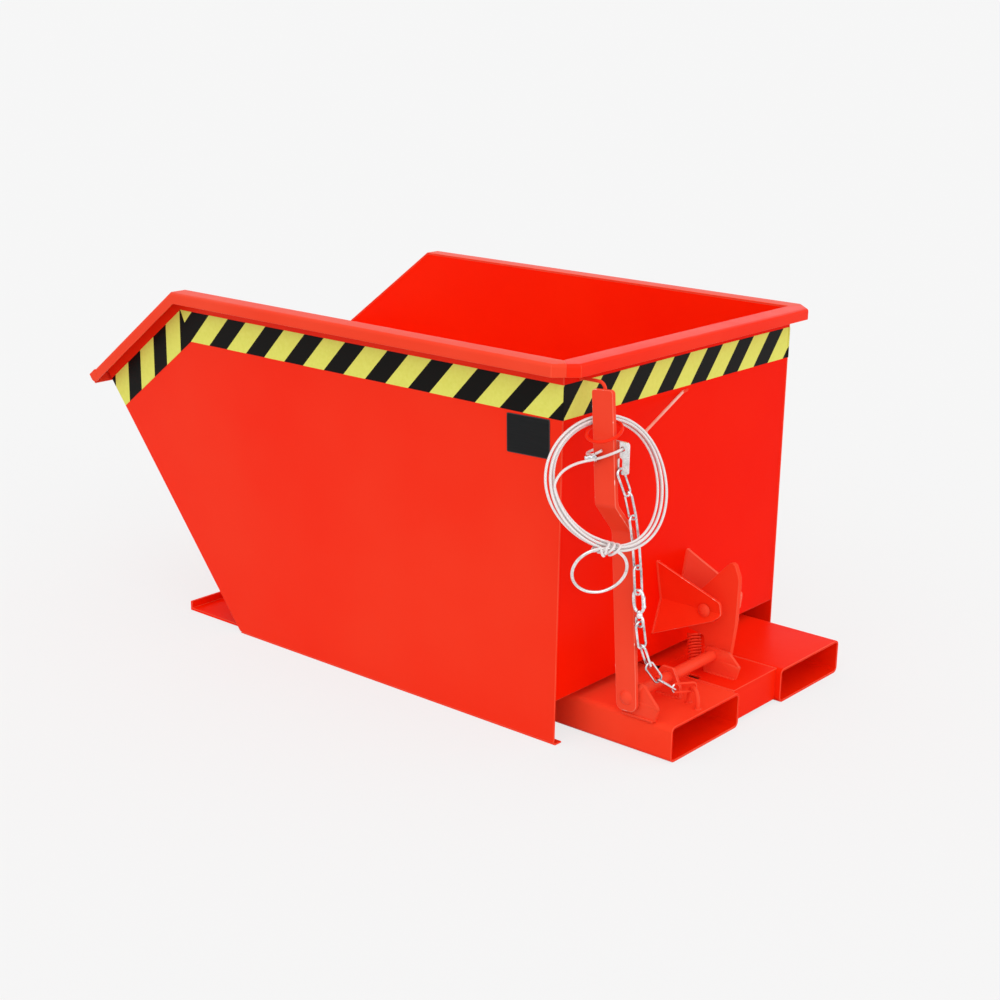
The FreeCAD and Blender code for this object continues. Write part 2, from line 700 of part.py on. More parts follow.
LEAN = 4.25
LEVER_TALL = D["rim_top"] - 37.0 - SZ
STEP_LOW, STEP_HIGH = LEVER_TALL - 235.0, LEVER_TALL - 184.0
STEP_OUT = 42.0
FOOT_LOW = 23.0
STEP_R = 14.0
half = D["lever_w"] / 2
thick = D["lever_t"]
LOW_Y, HIGH_Y = SHAFT_LOW, SHAFT_LOW - STEP_OUT
BACK_Y = HIGH_Y + thick
bend_shift = thick * math.tan(math.atan(STEP_OUT / (STEP_HIGH - STEP_LOW)) / 2)
bar_corners = [
    (LOW_Y, -2 * FOOT_LOW, 0),
    (LOW_Y, STEP_LOW, STEP_R + thick),
    (HIGH_Y, STEP_HIGH, STEP_R),
    (HIGH_Y, LEVER_TALL, 0),
    (BACK_Y, LEVER_TALL, 0),
    (BACK_Y, STEP_HIGH + bend_shift, STEP_R + thick),
    (LOW_Y + thick, STEP_LOW + bend_shift, STEP_R),
    (LOW_Y + thick, -2 * FOOT_LOW, 0),
]
bar = rounded_plate(
    "lever_bar", bar_corners, lambda y, z: Vector(SX - half, y, SZ + z), (1, 0, 0), "dims.lever_w"
)
END_R, TOP_R = 13.0, 6.0
view_corners = [
    (-half, -FOOT_LOW, END_R), (half, -FOOT_LOW, END_R), (half, LEVER_TALL, TOP_R), (-half, LEVER_TALL, TOP_R)
]
slab_deep = LOW_Y + 2 * thick - NEAR
lever_slab = rounded_plate("lever_slab", view_corners, side_view(NEAR, SX, SZ), Y_WAY, slab_deep)
upright = common("lever_upright", bar, lever_slab)
upright.Placement = Placement(Vector(0, 0, 0), Rotation(Vector(*Y_WAY), -LEAN), Vector(SX, 0, SZ))
lever_hole = rod("lever_hole", (SX, SHAFT_LOW - 1, SZ), Y_WAY, "dims.shaft_r", thick + 2)
keep(cut("lever_cut", upright, lever_hole), "lever")


def lever_x(z):
    """The middle of the leaning lever at a height."""
    return SX - (z - SZ) * math.tan(math.radians(LEAN))


# latch: hook with its nose over the striker pin, and an arm for the spring
HOOK_Y = NEAR + 320.5
NOSE_GAP, MOUTH_GAP = 3.0, 2.5
nose_z = STZ + D["striker_r"] + NOSE_GAP
mouth_x = STX + D["striker_r"] + MOUTH_GAP
ARM_REACH, ARM_TOP, ARM_LOW, ARM_R = 63.0, 57.0, 33.0, 10.0
hook_corners = [
    (STX - 29, nose_z + 2, 3),
    (STX - 30, nose_z + 11, 3),
    (STX + 33, STZ + 90, 8),
    (STX + 47, STZ + 59, 40),
    (STX + 45, STZ - 21, 60),
    (SX + 26, SZ - 23, 24),
    (SX - 16, SZ - 23, 14),
    (SX - 26, SZ + 27, 6),
    (SX - ARM_REACH, SZ + ARM_LOW, ARM_R),
    (SX - ARM_REACH, SZ + ARM_TOP, ARM_R),
    (mouth_x, SZ + ARM_TOP, 14),
    (mouth_x, nose_z, 8),
]
hook_plate = rounded_plate("hook_plate", hook_corners, side_view(HOOK_Y), Y_WAY, "dims.hook_t")
ARM_X, ARM_Z, ARM_HOLE = SX - 51.0, SZ + 45.0, 4.0
hook_holes = fuse(
    "hook_holes",
    [
        rod("hook_hole", (SX, HOOK_Y - 1, SZ), Y_WAY, "dims.shaft_r", "dims.hook_t + 2"),
        rod("arm_hole", (ARM_X, HOOK_Y - 1, ARM_Z), Y_WAY, ARM_HOLE, "dims.hook_t + 2"),
    ],
)
keep(cut("hook_cut", hook_plate, hook_holes), "latch_hook")

# return spring between the hook's arm and the cross plate, one unbroken wire
WIRE, SPRING_R, SPRING_TURNS, SEAT = 1.75, 10.5, 11.0, 1.0
spring_y = HOOK_Y + D["hook_t"] / 2
spring_foot = Vector(SX - 22.0, spring_y - 29.5, POCKET_TOP)
spring_top = Vector(ARM_X, spring_y, SZ + ARM_LOW)
spring_axis = (spring_top - spring_foot).normalize()
spring_side = spring_axis.cross(Vector(*Y_WAY)).normalize()
spring_over = spring_axis.cross(spring_side)
spring_lean = SPRING_R * math.sqrt(1 - spring_axis.z**2)
spring_low = (WIRE + SEAT + spring_lean) / spring_axis.z
spring_rise = (spring_top - spring_foot).Length - 2 * spring_low
spring_pitch = spring_rise / SPRING_TURNS


def spring_place(turns):
    angle = 2 * math.pi * turns
    ring = spring_side * math.cos(angle) + spring_over * math.sin(angle)
    return spring_foot + spring_axis * (spring_low + spring_pitch * turns) + ring * SPRING_R


spring_edges, _, _ = wound(spring_place, SPRING_TURNS, 2 * WIRE)
keep(solid("spring_sweep", tube(spring_edges, WIRE)), "latch_spring")

# latch: zinc plate on the lever for the chain, and the painted ring round the lever
PLATE_T, PLATE_W, PLATE_TALL, PLATE_R = 4.0, 36.0, 52.0, 5.0
PLATE_LOW, PLATE_SIDE = D["rim_top"] - 168.0, 3.0
plate_x = lever_x(PLATE_LOW) + PLATE_SIDE
SLOT_IN, SLOT_R, SLOT_UP, SLOT_RUN = 21.0, 4.0, 8.0, 14.0
EYE_IN, EYE_UP, EYE_R = 25.0, 41.0, 4.1
slot_x, slot_low = plate_x + SLOT_IN, PLATE_LOW + SLOT_UP
eye_x, eye_z = plate_x + EYE_IN, PLATE_LOW + EYE_UP
tab_box = box("chain_tab", (plate_x, BACK_Y, PLATE_LOW), (PLATE_W, PLATE_T, PLATE_TALL))
tab = round_edges("chain_tab_round", tab_box, PLATE_R, along("y"))
hole_from, hole_run = BACK_Y - 1, PLATE_T + 2
tab_holes = fuse(
    "tab_holes",
    [
        box("slot_middle", (slot_x - SLOT_R, hole_from, slot_low), (2 * SLOT_R, hole_run, SLOT_RUN)),
        rod("slot_foot", (slot_x, hole_from, slot_low), Y_WAY, SLOT_R, hole_run),
        rod("slot_head", (slot_x, hole_from, slot_low + SLOT_RUN), Y_WAY, SLOT_R, hole_run),
        rod("rope_hole", (eye_x, hole_from, eye_z), Y_WAY, EYE_R, hole_run),
    ],
)
keep(cut("tab_cut", tab, tab_holes), "chain_plate")
GUARD_Z, GUARD_R, GUARD_WIRE, GUARD_TIP = D["rim_top"] - 104.0, 28.3, 2.6, math.radians(24.0)
guard_centre = (lever_x(GUARD_Z) - 0.3, HIGH_Y + thick / 2, GUARD_Z)
keep(
    torus("guard_torus", guard_centre, (0, -math.sin(GUARD_TIP), math.cos(GUARD_TIP)), GUARD_R, GUARD_WIRE),
    "lever_ring",
)

# chain from the lever's plate to the staple, with a snap hook in it
LINKS, SNAP_AT, SNAP_LONG = 11, 5, 1.25
LINK_W, SNAP_W, SNAP_R = 20.0, 25.0, 3.0
LINK_R = D["link_wire"] / 2
LINK_PLAY = 0.5
STRIP_SEAT, STAPLE_SEAT = 1.3, 0.4


def link(name, start, end, wire, width, side):
    """One closed link between two crossing points. It is wide along side."""
    way = (end - start).normalize()
    bow = width / 2 - wire
    run = (end - start).Length / 2 + wire + LINK_PLAY - bow
    edges = [
        Part.makeLine(Vector(bow, 0, -run), Vector(bow, 0, run)),
        Part.Arc(Vector(bow, 0, run), Vector(0, 0, run + bow), Vector(-bow, 0, run)).toShape(),
        Part.makeLine(Vector(-bow, 0, run), Vector(-bow, 0, -run)),
        Part.Arc(Vector(-bow, 0, -run), Vector(0, 0, -run - bow), Vector(bow, 0, -run)).toShape(),
    ]
    shape = tube(edges, wire)
    shape.Placement = Placement((start + end) * 0.5, Rotation(side, way.cross(side), way, "ZXY"))
    return solid(name, shape)


bow_back = LINK_W / 2 - 2 * LINK_R - LINK_PLAY
strip = Vector(slot_x, BACK_Y + PLATE_T / 2, (PLATE_LOW + slot_low - SLOT_R) / 2)
staple_top = Vector(STAPLE_X, STAPLE_Y, POCKET_TOP + STAPLE_TALL)
chain_rise = strip.z - staple_top.z
HANGING = [
    (27.5, 39, 0.907), (30.5, 53.5, 0.682), (33.8, 53, 0.43),
    (32.5, 58.5, 0.283), (33.0, 111, 0.055), (41.5, 148, 0.0),
]
hanging = []
for beside_lever, y, share in HANGING:
    z = staple_top.z + share * chain_rise
    hanging.append(Vector(lever_x(z) + beside_lever, NEAR + y, z))
chain_start = strip - (hanging[0] - strip).normalize() * (bow_back - STRIP_SEAT)
chain_end = staple_top + (staple_top - hanging[-1]).normalize() * (bow_back - STAPLE_SEAT)
chain_line = Part.BSplineCurve()
chain_line.interpolate([chain_start] + hanging + [chain_end])
shares = [SNAP_LONG if number == SNAP_AT else 1.0 for number in range(LINKS)]
link_long = chain_line.length() / sum(shares)
crossings = [
    chain_line.value(chain_line.parameterAtDistance(sum(shares[:number]) * link_long))
    for number in range(LINKS + 1)
]
links = []
for number, (a, b) in enumerate(zip(crossings, crossings[1:])):
    way = (b - a).normalize()
    across = Vector(STAPLE_HALF, -STAPLE_SKEW * number / (LINKS - 1), 0)
    side = way.cross(across).normalize()
    if number % 2:
        side = side.cross(way)
    if number == SNAP_AT:
        keep(link("snap_ring", a, b, SNAP_R, SNAP_W, side), "snap_hook")
    else:
        links.append(link(f"link_{number}", a, b, LINK_R, LINK_W, side))
group("safety_chain", links)

# rope: coil that hangs round the lever, two layers that spiral out and in again
ROPE = D["rope_r"]
CLEAR = 0.3
COIL_R, COIL_STEP, COIL_LAYER, COIL_FLAT = 108.0, 5.2, 5.7, 0.88
COIL_FROM, COIL_TO, COIL_ROUNDS, COIL_REVERSE = 230.0, 190.0, 4, 2.444
COIL_TURNS = COIL_ROUNDS + (COIL_FROM - COIL_TO) / 360
COIL_SET, COIL_LEAN, COIL_BOW = 10.0, 40.0, 17.0
COIL_CENTRE = Vector(REAR + 55.0, NEAR + 37.0, D["rim_top"] - 186.0)
COIL_NORMAL = Vector(0.95, -0.3122, 0)
COIL_ACROSS = Vector(0.3122, 0.95, 0)
UP = Vector(0, 0, 1)


def coil_spot(angle, outward=0.0, layer=0.0):
    """A place in the coil, which leans out over the lever and the chain at its foot."""
    lean = COIL_SET - COIL_LEAN * math.sin(angle) + COIL_BOW * math.sin(angle) ** 2
    across = COIL_ACROSS * ((COIL_R + outward) * math.cos(angle))
    up = UP * ((COIL_FLAT * COIL_R + outward) * math.sin(angle))
    return COIL_CENTRE + across + up + COIL_NORMAL * (lean + layer)


def coil_place(turns):
    from_middle = turns - COIL_REVERSE
    outward = COIL_STEP * (1 - math.hypot(from_middle, 0.1))
    climb = max(-0.25, min(0.25, from_middle))
    layer = COIL_LAYER / 2 * math.sin(2 * math.pi * climb)
    return coil_spot(math.radians(COIL_FROM) - 2 * math.pi * turns, outward, layer)


coil_edges, coil_end, coil_way = wound(coil_place, COIL_TURNS, 2 * ROPE)
keep(solid("coil_sweep", tube(coil_edges, ROPE)), "rope_coil")

# rope: tail from the coil to an eye round the lever, and the clamp that closes it
TAIL_LEAD = 6.0
tail_points = [coil_end, coil_end + coil_way * TAIL_LEAD] + [
    Vector(REAR + x, NEAR + y, COIL_CENTRE.z + up)
    for x, y, up in [
        (34.8, -63.0, 4.0), (34.5, -55.0, 16.0), (36.0, -42.0, 26.0), (41.0, -23.0, 32.5),
        (48.0, -5.0, 35.5), (60.0, 7.0, 38.5), (74.0, 10.0, 44.5), (89.0, 10.5, 52.0), (98.5, 18.5, 57.5),
        (98.5, 31.0, 59.5), (89.0, 40.0, 59.0), (71.0, 41.0, 55.0), (53.0, 40.5, 50.5), (41.0, 36.0, 46.5),
        (35.0, 25.0, 43.5), (38.5, 13.0, 42.0), (49.0, 7.0, 43.0), (61.0, 8.0, 47.5), (70.0, 10.5, 54.0),
    ]
]
tail_edges, tail_radii = route(tail_points)
tail_shape = tube(tail_edges, ROPE)
keep(solid("tail_sweep", tail_shape), "rope_tail")
CLAMP_AT, CLAMP = (45.5, -2.0, 30.0), (14.0, 14.5, 19.0)
clamp_low = (REAR + CLAMP_AT[0], NEAR + CLAMP_AT[1], COIL_CENTRE.z + CLAMP_AT[2])
clamp_box = box("clamp_box", clamp_low, CLAMP)
clamp_round = round_edges("clamp_round", clamp_box, 2.5, along("y"))
keep(cut("clamp_cut", clamp_round, solid("clamp_bore", tail_shape)), "rope_clamp")

# rope: pull ring in front of the coil's foot, and the rope's end wound round both
RING_R, RING_WIRE = 43.5, 2.8
BIND_AT, BIND_TURNS = math.radians(250.0), 3.0
bundle = coil_spot(BIND_AT)
bundle_way = (coil_spot(BIND_AT + 0.01) - coil_spot(BIND_AT - 0.01)).normalize()
bind_front = (COIL_NORMAL - bundle_way * COIL_NORMAL.dot(bundle_way)).normalize()
bind_up = bundle_way.cross(bind_front)
strands = math.hypot(COIL_STEP, COIL_LAYER) / 2 + ROPE
ring_top = bundle + bind_front * (COIL_LAYER / 2 + ROPE + CLEAR + RING_WIRE)
ring_down = Vector(-0.37, 0.098, -0.924).normalize()
ring_centre = ring_top + ring_down * RING_R
keep(torus("pull_torus", ring_centre, bundle_way.cross(ring_down), RING_R, RING_WIRE), "pull_ring")
BIND_CLEAR = 2.2
bind_deep = strands + RING_WIRE + BIND_CLEAR + ROPE
bind_tall = strands + BIND_CLEAR + ROPE
bind_centre = bundle + bind_front * (RING_WIRE + CLEAR / 2)
BIND_STEP = 2 * ROPE + 0.7


def bind_place(turns):
    angle = 2 * math.pi * turns
    oval = bind_front * (bind_deep * math.cos(angle)) + bind_up * (bind_tall * math.sin(angle))
    return bind_centre + oval + bundle_way * (BIND_STEP * (turns - BIND_TURNS / 2))


bind_edges, _, _ = wound(bind_place, BIND_TURNS, 2 * ROPE)
keep(solid("bind_sweep", tube(bind_edges, ROPE)), "rope_eye")

doc.recompute()
bad = [o.Name for o in doc.Objects if "Invalid" in o.State or "Error" in o.State]
bad += [o.Label for o in pieces if o.Shape.isNull() or not o.Shape.isValid() or not o.Shape.Solids]
if bad:
    raise SystemExit("not built: " + ", ".join(bad))

os.makedirs("parts", exist_ok=True)
for piece in pieces:
    piece.Shape.exportStep(os.path.join("parts", piece.Label + ".step"))
whole = Part.makeCompound([p.Shape for p in pieces]).BoundBox
print(f"{len(pieces)} pieces, {whole.XLength:.1f} x {whole.YLength:.1f} x {whole.ZLength:.1f} mm")
print(f"least gap of the coil {least_gap(coil_place, COIL_TURNS, ROPE):.2f} mm")
print(f"least gap of the spring {least_gap(spring_place, SPRING_TURNS, WIRE):.2f} mm")
print(f"least gap of the binding {least_gap(bind_place, BIND_TURNS, ROPE):.2f} mm")
print("radii of the rope's tail " + ", ".join(f"{radius:.0f}" for radius in tail_radii) + " mm")
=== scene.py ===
"""Looks of a fork-lift tipping skip: paint, tape, weld seams, release rope, chain, snap hook and spring."""
import json
import math

import bmesh
import bpy
import numpy as np
from mathutils import Matrix, Vector


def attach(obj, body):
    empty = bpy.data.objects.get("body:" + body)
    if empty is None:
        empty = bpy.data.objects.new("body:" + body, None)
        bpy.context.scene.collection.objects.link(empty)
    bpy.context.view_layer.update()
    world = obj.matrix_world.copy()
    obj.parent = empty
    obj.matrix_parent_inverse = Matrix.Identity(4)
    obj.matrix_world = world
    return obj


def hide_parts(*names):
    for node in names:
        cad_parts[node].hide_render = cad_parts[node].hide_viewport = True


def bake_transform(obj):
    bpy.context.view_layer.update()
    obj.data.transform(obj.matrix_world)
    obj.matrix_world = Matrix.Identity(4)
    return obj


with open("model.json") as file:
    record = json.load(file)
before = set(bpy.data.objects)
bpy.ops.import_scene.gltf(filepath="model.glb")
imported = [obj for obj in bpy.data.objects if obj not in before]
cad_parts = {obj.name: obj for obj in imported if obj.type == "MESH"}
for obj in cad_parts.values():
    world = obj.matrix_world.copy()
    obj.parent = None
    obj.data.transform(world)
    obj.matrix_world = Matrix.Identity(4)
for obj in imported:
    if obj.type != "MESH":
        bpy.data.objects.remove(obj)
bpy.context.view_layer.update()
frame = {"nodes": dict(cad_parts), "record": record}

scene = bpy.context.scene
scene.view_settings.view_transform = "Standard"

MM = 0.001
X_WAY, Y_WAY, UP = np.eye(3)


def points_of(mesh):
    """A mesh's points, one to a row."""
    flat = np.empty(3 * len(mesh.vertices))
    mesh.vertices.foreach_get("co", flat)
    return flat.reshape(-1, 3)


def span(node):
    """The lowest and the highest corner of a CAD piece's box."""
    points = points_of(frame["nodes"][node].data)
    return points.min(0), points.max(0)


# shared places of the part in metres, taken from the frame
behaviour = frame["record"]["behaviour"]
SHAFT = next(np.array(joint["pos_m"]) for joint in behaviour["joints"] if joint["name"] == "latch_release")
plate_low, plate_high = span("side_plate_near")
REAR, NEAR, SHEET = plate_high[0], plate_low[1], plate_high[1] - plate_low[1]
FAR = span("side_plate_far")[1][1]
WALL = span("rear_wall")[1][0]
POCKET_TOP = span("fork_pocket_near")[1][2]
STRIKER_Z = np.mean(span("striker_pin"), axis=0)[2]

# camera at the photograph's place, slightly rolled, with its lens and square sensor in mm
LENS, SENSOR = 62.93, 36
EYE = Vector((2.09808, -2.42867, 1.20587))
AZIMUTH, ELEVATION, ROLL = (math.radians(degrees) for degrees in (39.76, 16.57, 1.01))


def towards(azimuth, elevation):
    """The way to a place at an azimuth, counted from -Y towards +X, and an elevation."""
    level = math.cos(elevation)
    return Vector((math.sin(azimuth) * level, -math.cos(azimuth) * level, math.sin(elevation)))


def set_camera():
    """A camera at EYE whose back points along its azimuth and elevation, rolled about its view."""
    right = Vector((math.cos(AZIMUTH), math.sin(AZIMUTH), 0))
    back = towards(AZIMUTH, ELEVATION)
    up = back.cross(right)
    across = right * math.cos(ROLL) + up * math.sin(ROLL)
    upright = up * math.cos(ROLL) - right * math.sin(ROLL)
    camera = bpy.data.cameras.new("camera")
    camera.lens, camera.sensor_width = LENS, SENSOR
    holder = bpy.data.objects.new("camera", camera)
    holder.matrix_world = Matrix.Translation(EYE) @ Matrix((across, upright, back)).transposed().to_4x4()
    scene.collection.objects.link(holder)
    scene.camera = holder


set_camera()


class Shade:
    """One value in a finish's nodes. Arithmetic on it adds Math nodes."""

    def __init__(self, tree, socket=None):
        self.tree = tree
        self.socket = socket

    def add(self, kind, settings=None, sockets=None, out=0):
        """A node of a kind: first its settings, then the values or links of its sockets."""
        node = self.tree.nodes.new(kind)
        for name, value in (settings or {}).items():
            setattr(node, name, value)
        for key, value in (sockets or {}).items():
            if isinstance(value, Shade):
                self.tree.links.new(value.socket, node.inputs[key])
            else:
                node.inputs[key].default_value = value
        return Shade(self.tree, node.outputs[out])

    def maths(self, operation, first, second=0.0):
        return self.add("ShaderNodeMath", {"operation": operation}, {0: first, 1: second})

    def __add__(self, other):
        return self.maths("ADD", self, other)

    def __sub__(self, other):
        return self.maths("SUBTRACT", self, other)

    def __rsub__(self, other):
        return self.maths("SUBTRACT", other, self)

    def __mul__(self, other):
        return self.maths("MULTIPLY", self, other)

    def __truediv__(self, other):
        return self.maths("DIVIDE", self, other)

    __radd__ = __add__
    __rmul__ = __mul__

    def part(self):
        """What is left past the whole number."""
        return self.maths("FRACT", self)

    def above(self, limit):
        """1 above the limit, 0 below it."""
        return self.maths("GREATER_THAN", self, limit)

    def between(self, low, high):
        """0 at low, 1 at high, held outside."""
        return self.add("ShaderNodeMapRange", {"clamp": True}, {0: self, 1: low, 2: high})

    def tint(self, low, high):
        """The colour low where this is 0 and high where it is 1."""
        return self.add("ShaderNodeMix", {"data_type": "RGBA"}, {0: self, 6: low, 7: high}, out=2)

    def axis(self, number):
        """One number of a vector."""
        return self.add("ShaderNodeSeparateXYZ", None, {0: self}, out=number)

    def place(self):
        """Object coordinates, in metres."""
        return self.add("ShaderNodeTexCoord", out=3)

    def own_map(self, name):
        """A piece's own UV."""
        return self.add("ShaderNodeUVMap", {"uv_map": name})

    def noise(self, where, scale, detail=3.0):
        return self.add("ShaderNodeTexNoise", None, {"Vector": where, "Scale": scale, "Detail": detail})

    def bump(self, height, strength, distance):
        sockets = {"Height": height, "Strength": strength, "Distance": distance}
        return self.add("ShaderNodeBump", None, sockets)


def linear(red, green, blue):
    """A colour read from a screen, as light."""
    share = np.array([red, green, blue]) / 255
    light = np.where(share <= 0.04045, share / 12.92, ((share + 0.055) / 1.055) ** 2.4)
    return (*light.tolist(), 1.0)


def new_finish(name, **constants):
    """A material with one Principled shader: gives it, a start for its nodes and a way to feed a socket."""
    material = bpy.data.materials.new(name)
    material.use_nodes = True
    tree = material.node_tree
    shader = tree.nodes["Principled BSDF"]
    for key, value in constants.items():
        shader.inputs[key.replace("_", " ")].default_value = value

    def feed(key, shade):
        tree.links.new(shade.socket, shader.inputs[key])

    return material, Shade(tree), feed


# the pale ground of a chip, and the black and yellows of the tape
CHIP = (253, 198, 184)
TAPE_BLACK, TAPE_YELLOW, TAPE_PALE = (19, 17, 15), (224, 225, 98), (231, 232, 112)
# hazard bands: one pair's length in metres, slant, and the black one's share
BAND_PITCH, BAND_SLANT, BAND_DARK = 0.1, 0.93, 0.48
PLATE_RIM = 1.5 * MM


def painted(name, colour, deep, gloss, clouds=5.0, chips=0.0):
    """Powder coat: a slow drift between two reds, pebbled skin, and pale chips over a share of it."""
    material, start, feed = new_finish(name, Specular_IOR_Level=gloss)
    where = start.place()
    drift = start.noise(where, scale=clouds, detail=3.0).between(0.3, 0.7)
    skin = start.noise(where, scale=620.0, detail=2.0)
    wave = start.noise(where, scale=22.0, detail=2.0)
    paint = drift.tint(linear(*deep), linear(*colour))
    if chips:
        bare = start.noise(where, scale=85.0, detail=5.0).between(0.66 - chips, 0.7 - chips)
        paint = bare.tint(paint, linear(*CHIP))
    feed("Base Color", paint)
    feed("Roughness", 0.24 + 0.14 * start.noise(where, scale=14.0, detail=4.0))
    feed("Normal", start.bump(wave + skin * 0.05, strength=0.25, distance=1.2 * MM))
    return material


def galvanised(name, pale, dark, rough):
    """Zinc: cells of slightly different grey with a cloudy gloss."""
    material, start, feed = new_finish(name, Metallic=1.0)
    where = start.place()
    cells = start.add("ShaderNodeTexVoronoi", None, {"Vector": where, "Scale": 420.0}, out=1)
    grain = start.add("ShaderNodeRGBToBW", None, {0: cells})
    cloud = start.noise(where, scale=45.0, detail=2.0)
    spangle = (grain * 0.18 + cloud * 0.82).between(0.3, 0.62)
    feed("Base Color", spangle.tint(linear(*dark), linear(*pale)))
    feed("Roughness", rough + 0.2 * cloud)
    feed("Normal", start.bump(start.noise(where, scale=400.0), strength=0.15, distance=0.4 * MM))
    return material


def coated_rope(name, groove, crest):
    """Bright wire strands under a clear jacket: the grooves take a darker colour as painted shade, read
    from the tube's own UV.
    """
    material, start, feed = new_finish(name, Coat_Weight=0.6, Coat_Roughness=0.1, Specular_IOR_Level=0.4)
    crown = start.own_map("lay").axis(1)
    fleck = start.noise(start.place(), scale=500.0, detail=2.0)
    # painted shade in the grooves between strands, full colour on the crests
    shine = (crown * 0.8 + fleck * 0.2).between(0.1, 0.9)
    feed("Base Color", shine.tint(linear(*groove), linear(*crest)))
    feed("Roughness", 0.28 + 0.15 * fleck)
    return material


def striped(name):
    """Hazard tape: bands at a slant across the tape's own UV, in metres, with a faint print grain."""
    material, start, feed = new_finish(name, Specular_IOR_Level=0.06)
    tape = start.own_map("tape")
    band = ((tape.axis(0) - tape.axis(1) * BAND_SLANT) / BAND_PITCH).part().above(BAND_DARK)
    grain = start.noise(start.place(), scale=180.0)
    yellow = grain.between(0.2, 0.8).tint(linear(*TAPE_YELLOW), linear(*TAPE_PALE))
    feed("Base Color", band.tint(linear(*TAPE_BLACK), yellow))
    feed("Roughness", 0.34 + 0.16 * grain)
    feed("Normal", start.bump(grain, strength=0.08, distance=0.4 * MM))
    return material


def blank_plate(name, black, worn, rim):
    """A bare black plate: fine brushed lines along X, and a paler rim by the distance from the edge."""
    material, start, feed = new_finish(name, Specular_IOR_Level=0.1)
    stretched = start.add("ShaderNodeMapping", None, {0: start.place(), 3: (30.0, 1.0, 900.0)})
    brush = start.noise(stretched, scale=1.0)
    inside = start.own_map("edge").axis(0).above(PLATE_RIM)
    feed("Base Color", inside.tint(linear(*rim), brush.tint(linear(*black), linear(*worn))))
    feed("Roughness", 0.35 + 0.15 * brush)
    feed("Normal", start.bump(brush, strength=0.1, distance=0.3 * MM))
    return material


SHEET_RED = painted("sheet_paint", (247, 56, 28), (246, 40, 13), gloss=0.07, clouds=2.2)
# painted shade: the rear wall faces away from the key light and takes a deeper red than the side plates
SHADED_WALL_RED = painted("shaded_wall_paint", (247, 28, 3), (245, 23, 2), gloss=0.02)
# and on the fork pockets' insides it is a deeper red than outside, as painted shade
# painted light and shade: a bright red lifts the shade on the skip's inner sheets, tray and far runner,
INSIDE_SHADE_RED = painted("inside_shade_paint", (254, 38, 5), (252, 32, 3), gloss=0.02)
# painted sheen: a paler, pinker red on the near fork pocket, frame lugs and hook stands in for their
# reflection
SHEEN_BASE_RED = painted("base_sheen_paint", (251, 72, 44), (249, 60, 33), gloss=0.03)
# painted shade: the cross plate and far fork pocket take a deeper red than the near pocket
SHADED_PLATE_RED = painted("shaded_plate_paint", (248, 42, 15), (246, 33, 8), gloss=0.02)
# painted light: a brighter red on the near striker cheek lifts the shade it sits in
LIT_LATCH_RED = painted("lit_latch_paint", (254, 62, 30), (252, 48, 18), gloss=0.05)
# painted sheen: a paler red on the rims and pouring lip stands in for the light their faces catch
SHEEN_RIM_RED = painted("rim_sheen_paint", (242, 74, 48), (240, 64, 38), gloss=0.04)
# painted sheen: a paler red on the lever and small fittings stands in for their reflection
SHEEN_FITTING_RED = painted("fitting_sheen_paint", (245, 74, 47), (243, 62, 36), gloss=0.08)
# painted highlight: pale red on the rounded edges of small pieces, with pale chips
EDGE_HIGHLIGHT_RED = painted("edge_highlight_paint", (249, 126, 103), (246, 92, 66), gloss=0.2, clouds=9.0, chips=0.05)
# painted highlight: a milder pale red on the rounded edges of the sheets
SHEET_EDGE_HIGHLIGHT_RED = painted("sheet_edge_highlight_paint", (248, 88, 60), (246, 70, 42), gloss=0.12, clouds=9.0)
# painted light: a paler red on the far striker cheek, which faces the near side and up
LIT_CHEEK_RED = painted("lit_cheek_paint", (250, 104, 78), (247, 88, 60), gloss=0.1)
# painted sheen: a pale pink on the thin rope hanger stands in for the white it reflects
ROD_SHEEN_RED = painted("rod_sheen_paint", (252, 190, 177), (249, 140, 119), gloss=0.2)
# paints of small pieces, whose edges take a paler painted highlight than those of the sheets
PALE_EDGED = (SHEEN_FITTING_RED, LIT_CHEEK_RED, LIT_LATCH_RED, ROD_SHEEN_RED)
ZINC = galvanised("zinc", (242, 242, 244), (166, 167, 172), rough=0.07)
STEEL = galvanised("bright_steel", (246, 243, 242), (206, 201, 199), rough=0.06)
ROPE_COAT = coated_rope("coated_rope", (178, 164, 162), (252, 247, 246))
TAPE = striped("hazard_tape")
PLATE_BLACK = blank_plate("blank_plate", (14, 15, 16), (32, 33, 34), (60, 58, 58))


def unit(vectors):
    """Vectors made one long."""
    return vectors / np.linalg.norm(vectors, axis=-1, keepdims=True)


def quads(rows, columns, looped=False):
    """Faces of a grid of points, row after row. Its columns close round, and its rows too where looped."""
    row = np.arange(rows if looped else rows - 1)[:, None]
    column = np.arange(columns)[None, :]
    beside = (column + 1) % columns
    upper, lower = row * columns, (row + 1) % rows * columns
    corners = [upper + column, upper + beside, lower + beside, lower + column]
    return np.stack(corners, -1).reshape(-1, 4).tolist()


def made(name, shape, finish, body=None, uv=None, uv_name="", smooth=True):
    """An object at the origin from arrays of points and faces, with a pair of values per point as UV."""
    points, faces = shape
    mesh = bpy.data.meshes.new(name)
    mesh.from_pydata(points.reshape(-1, 3), [], faces)
    if uv is not None:
        corner = np.empty(len(mesh.loops), int)
        mesh.loops.foreach_get("vertex_index", corner)
        mesh.uv_layers.new(name=uv_name).data.foreach_set("uv", uv.reshape(-1, 2)[corner].ravel())
    mesh.polygons.foreach_set("use_smooth", [smooth] * len(mesh.polygons))
    mesh.materials.append(finish)
    mesh.update()
    thing = bpy.data.objects.new(name, mesh)
    scene.collection.objects.link(thing)
    if body:
        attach(thing, body)
    return thing


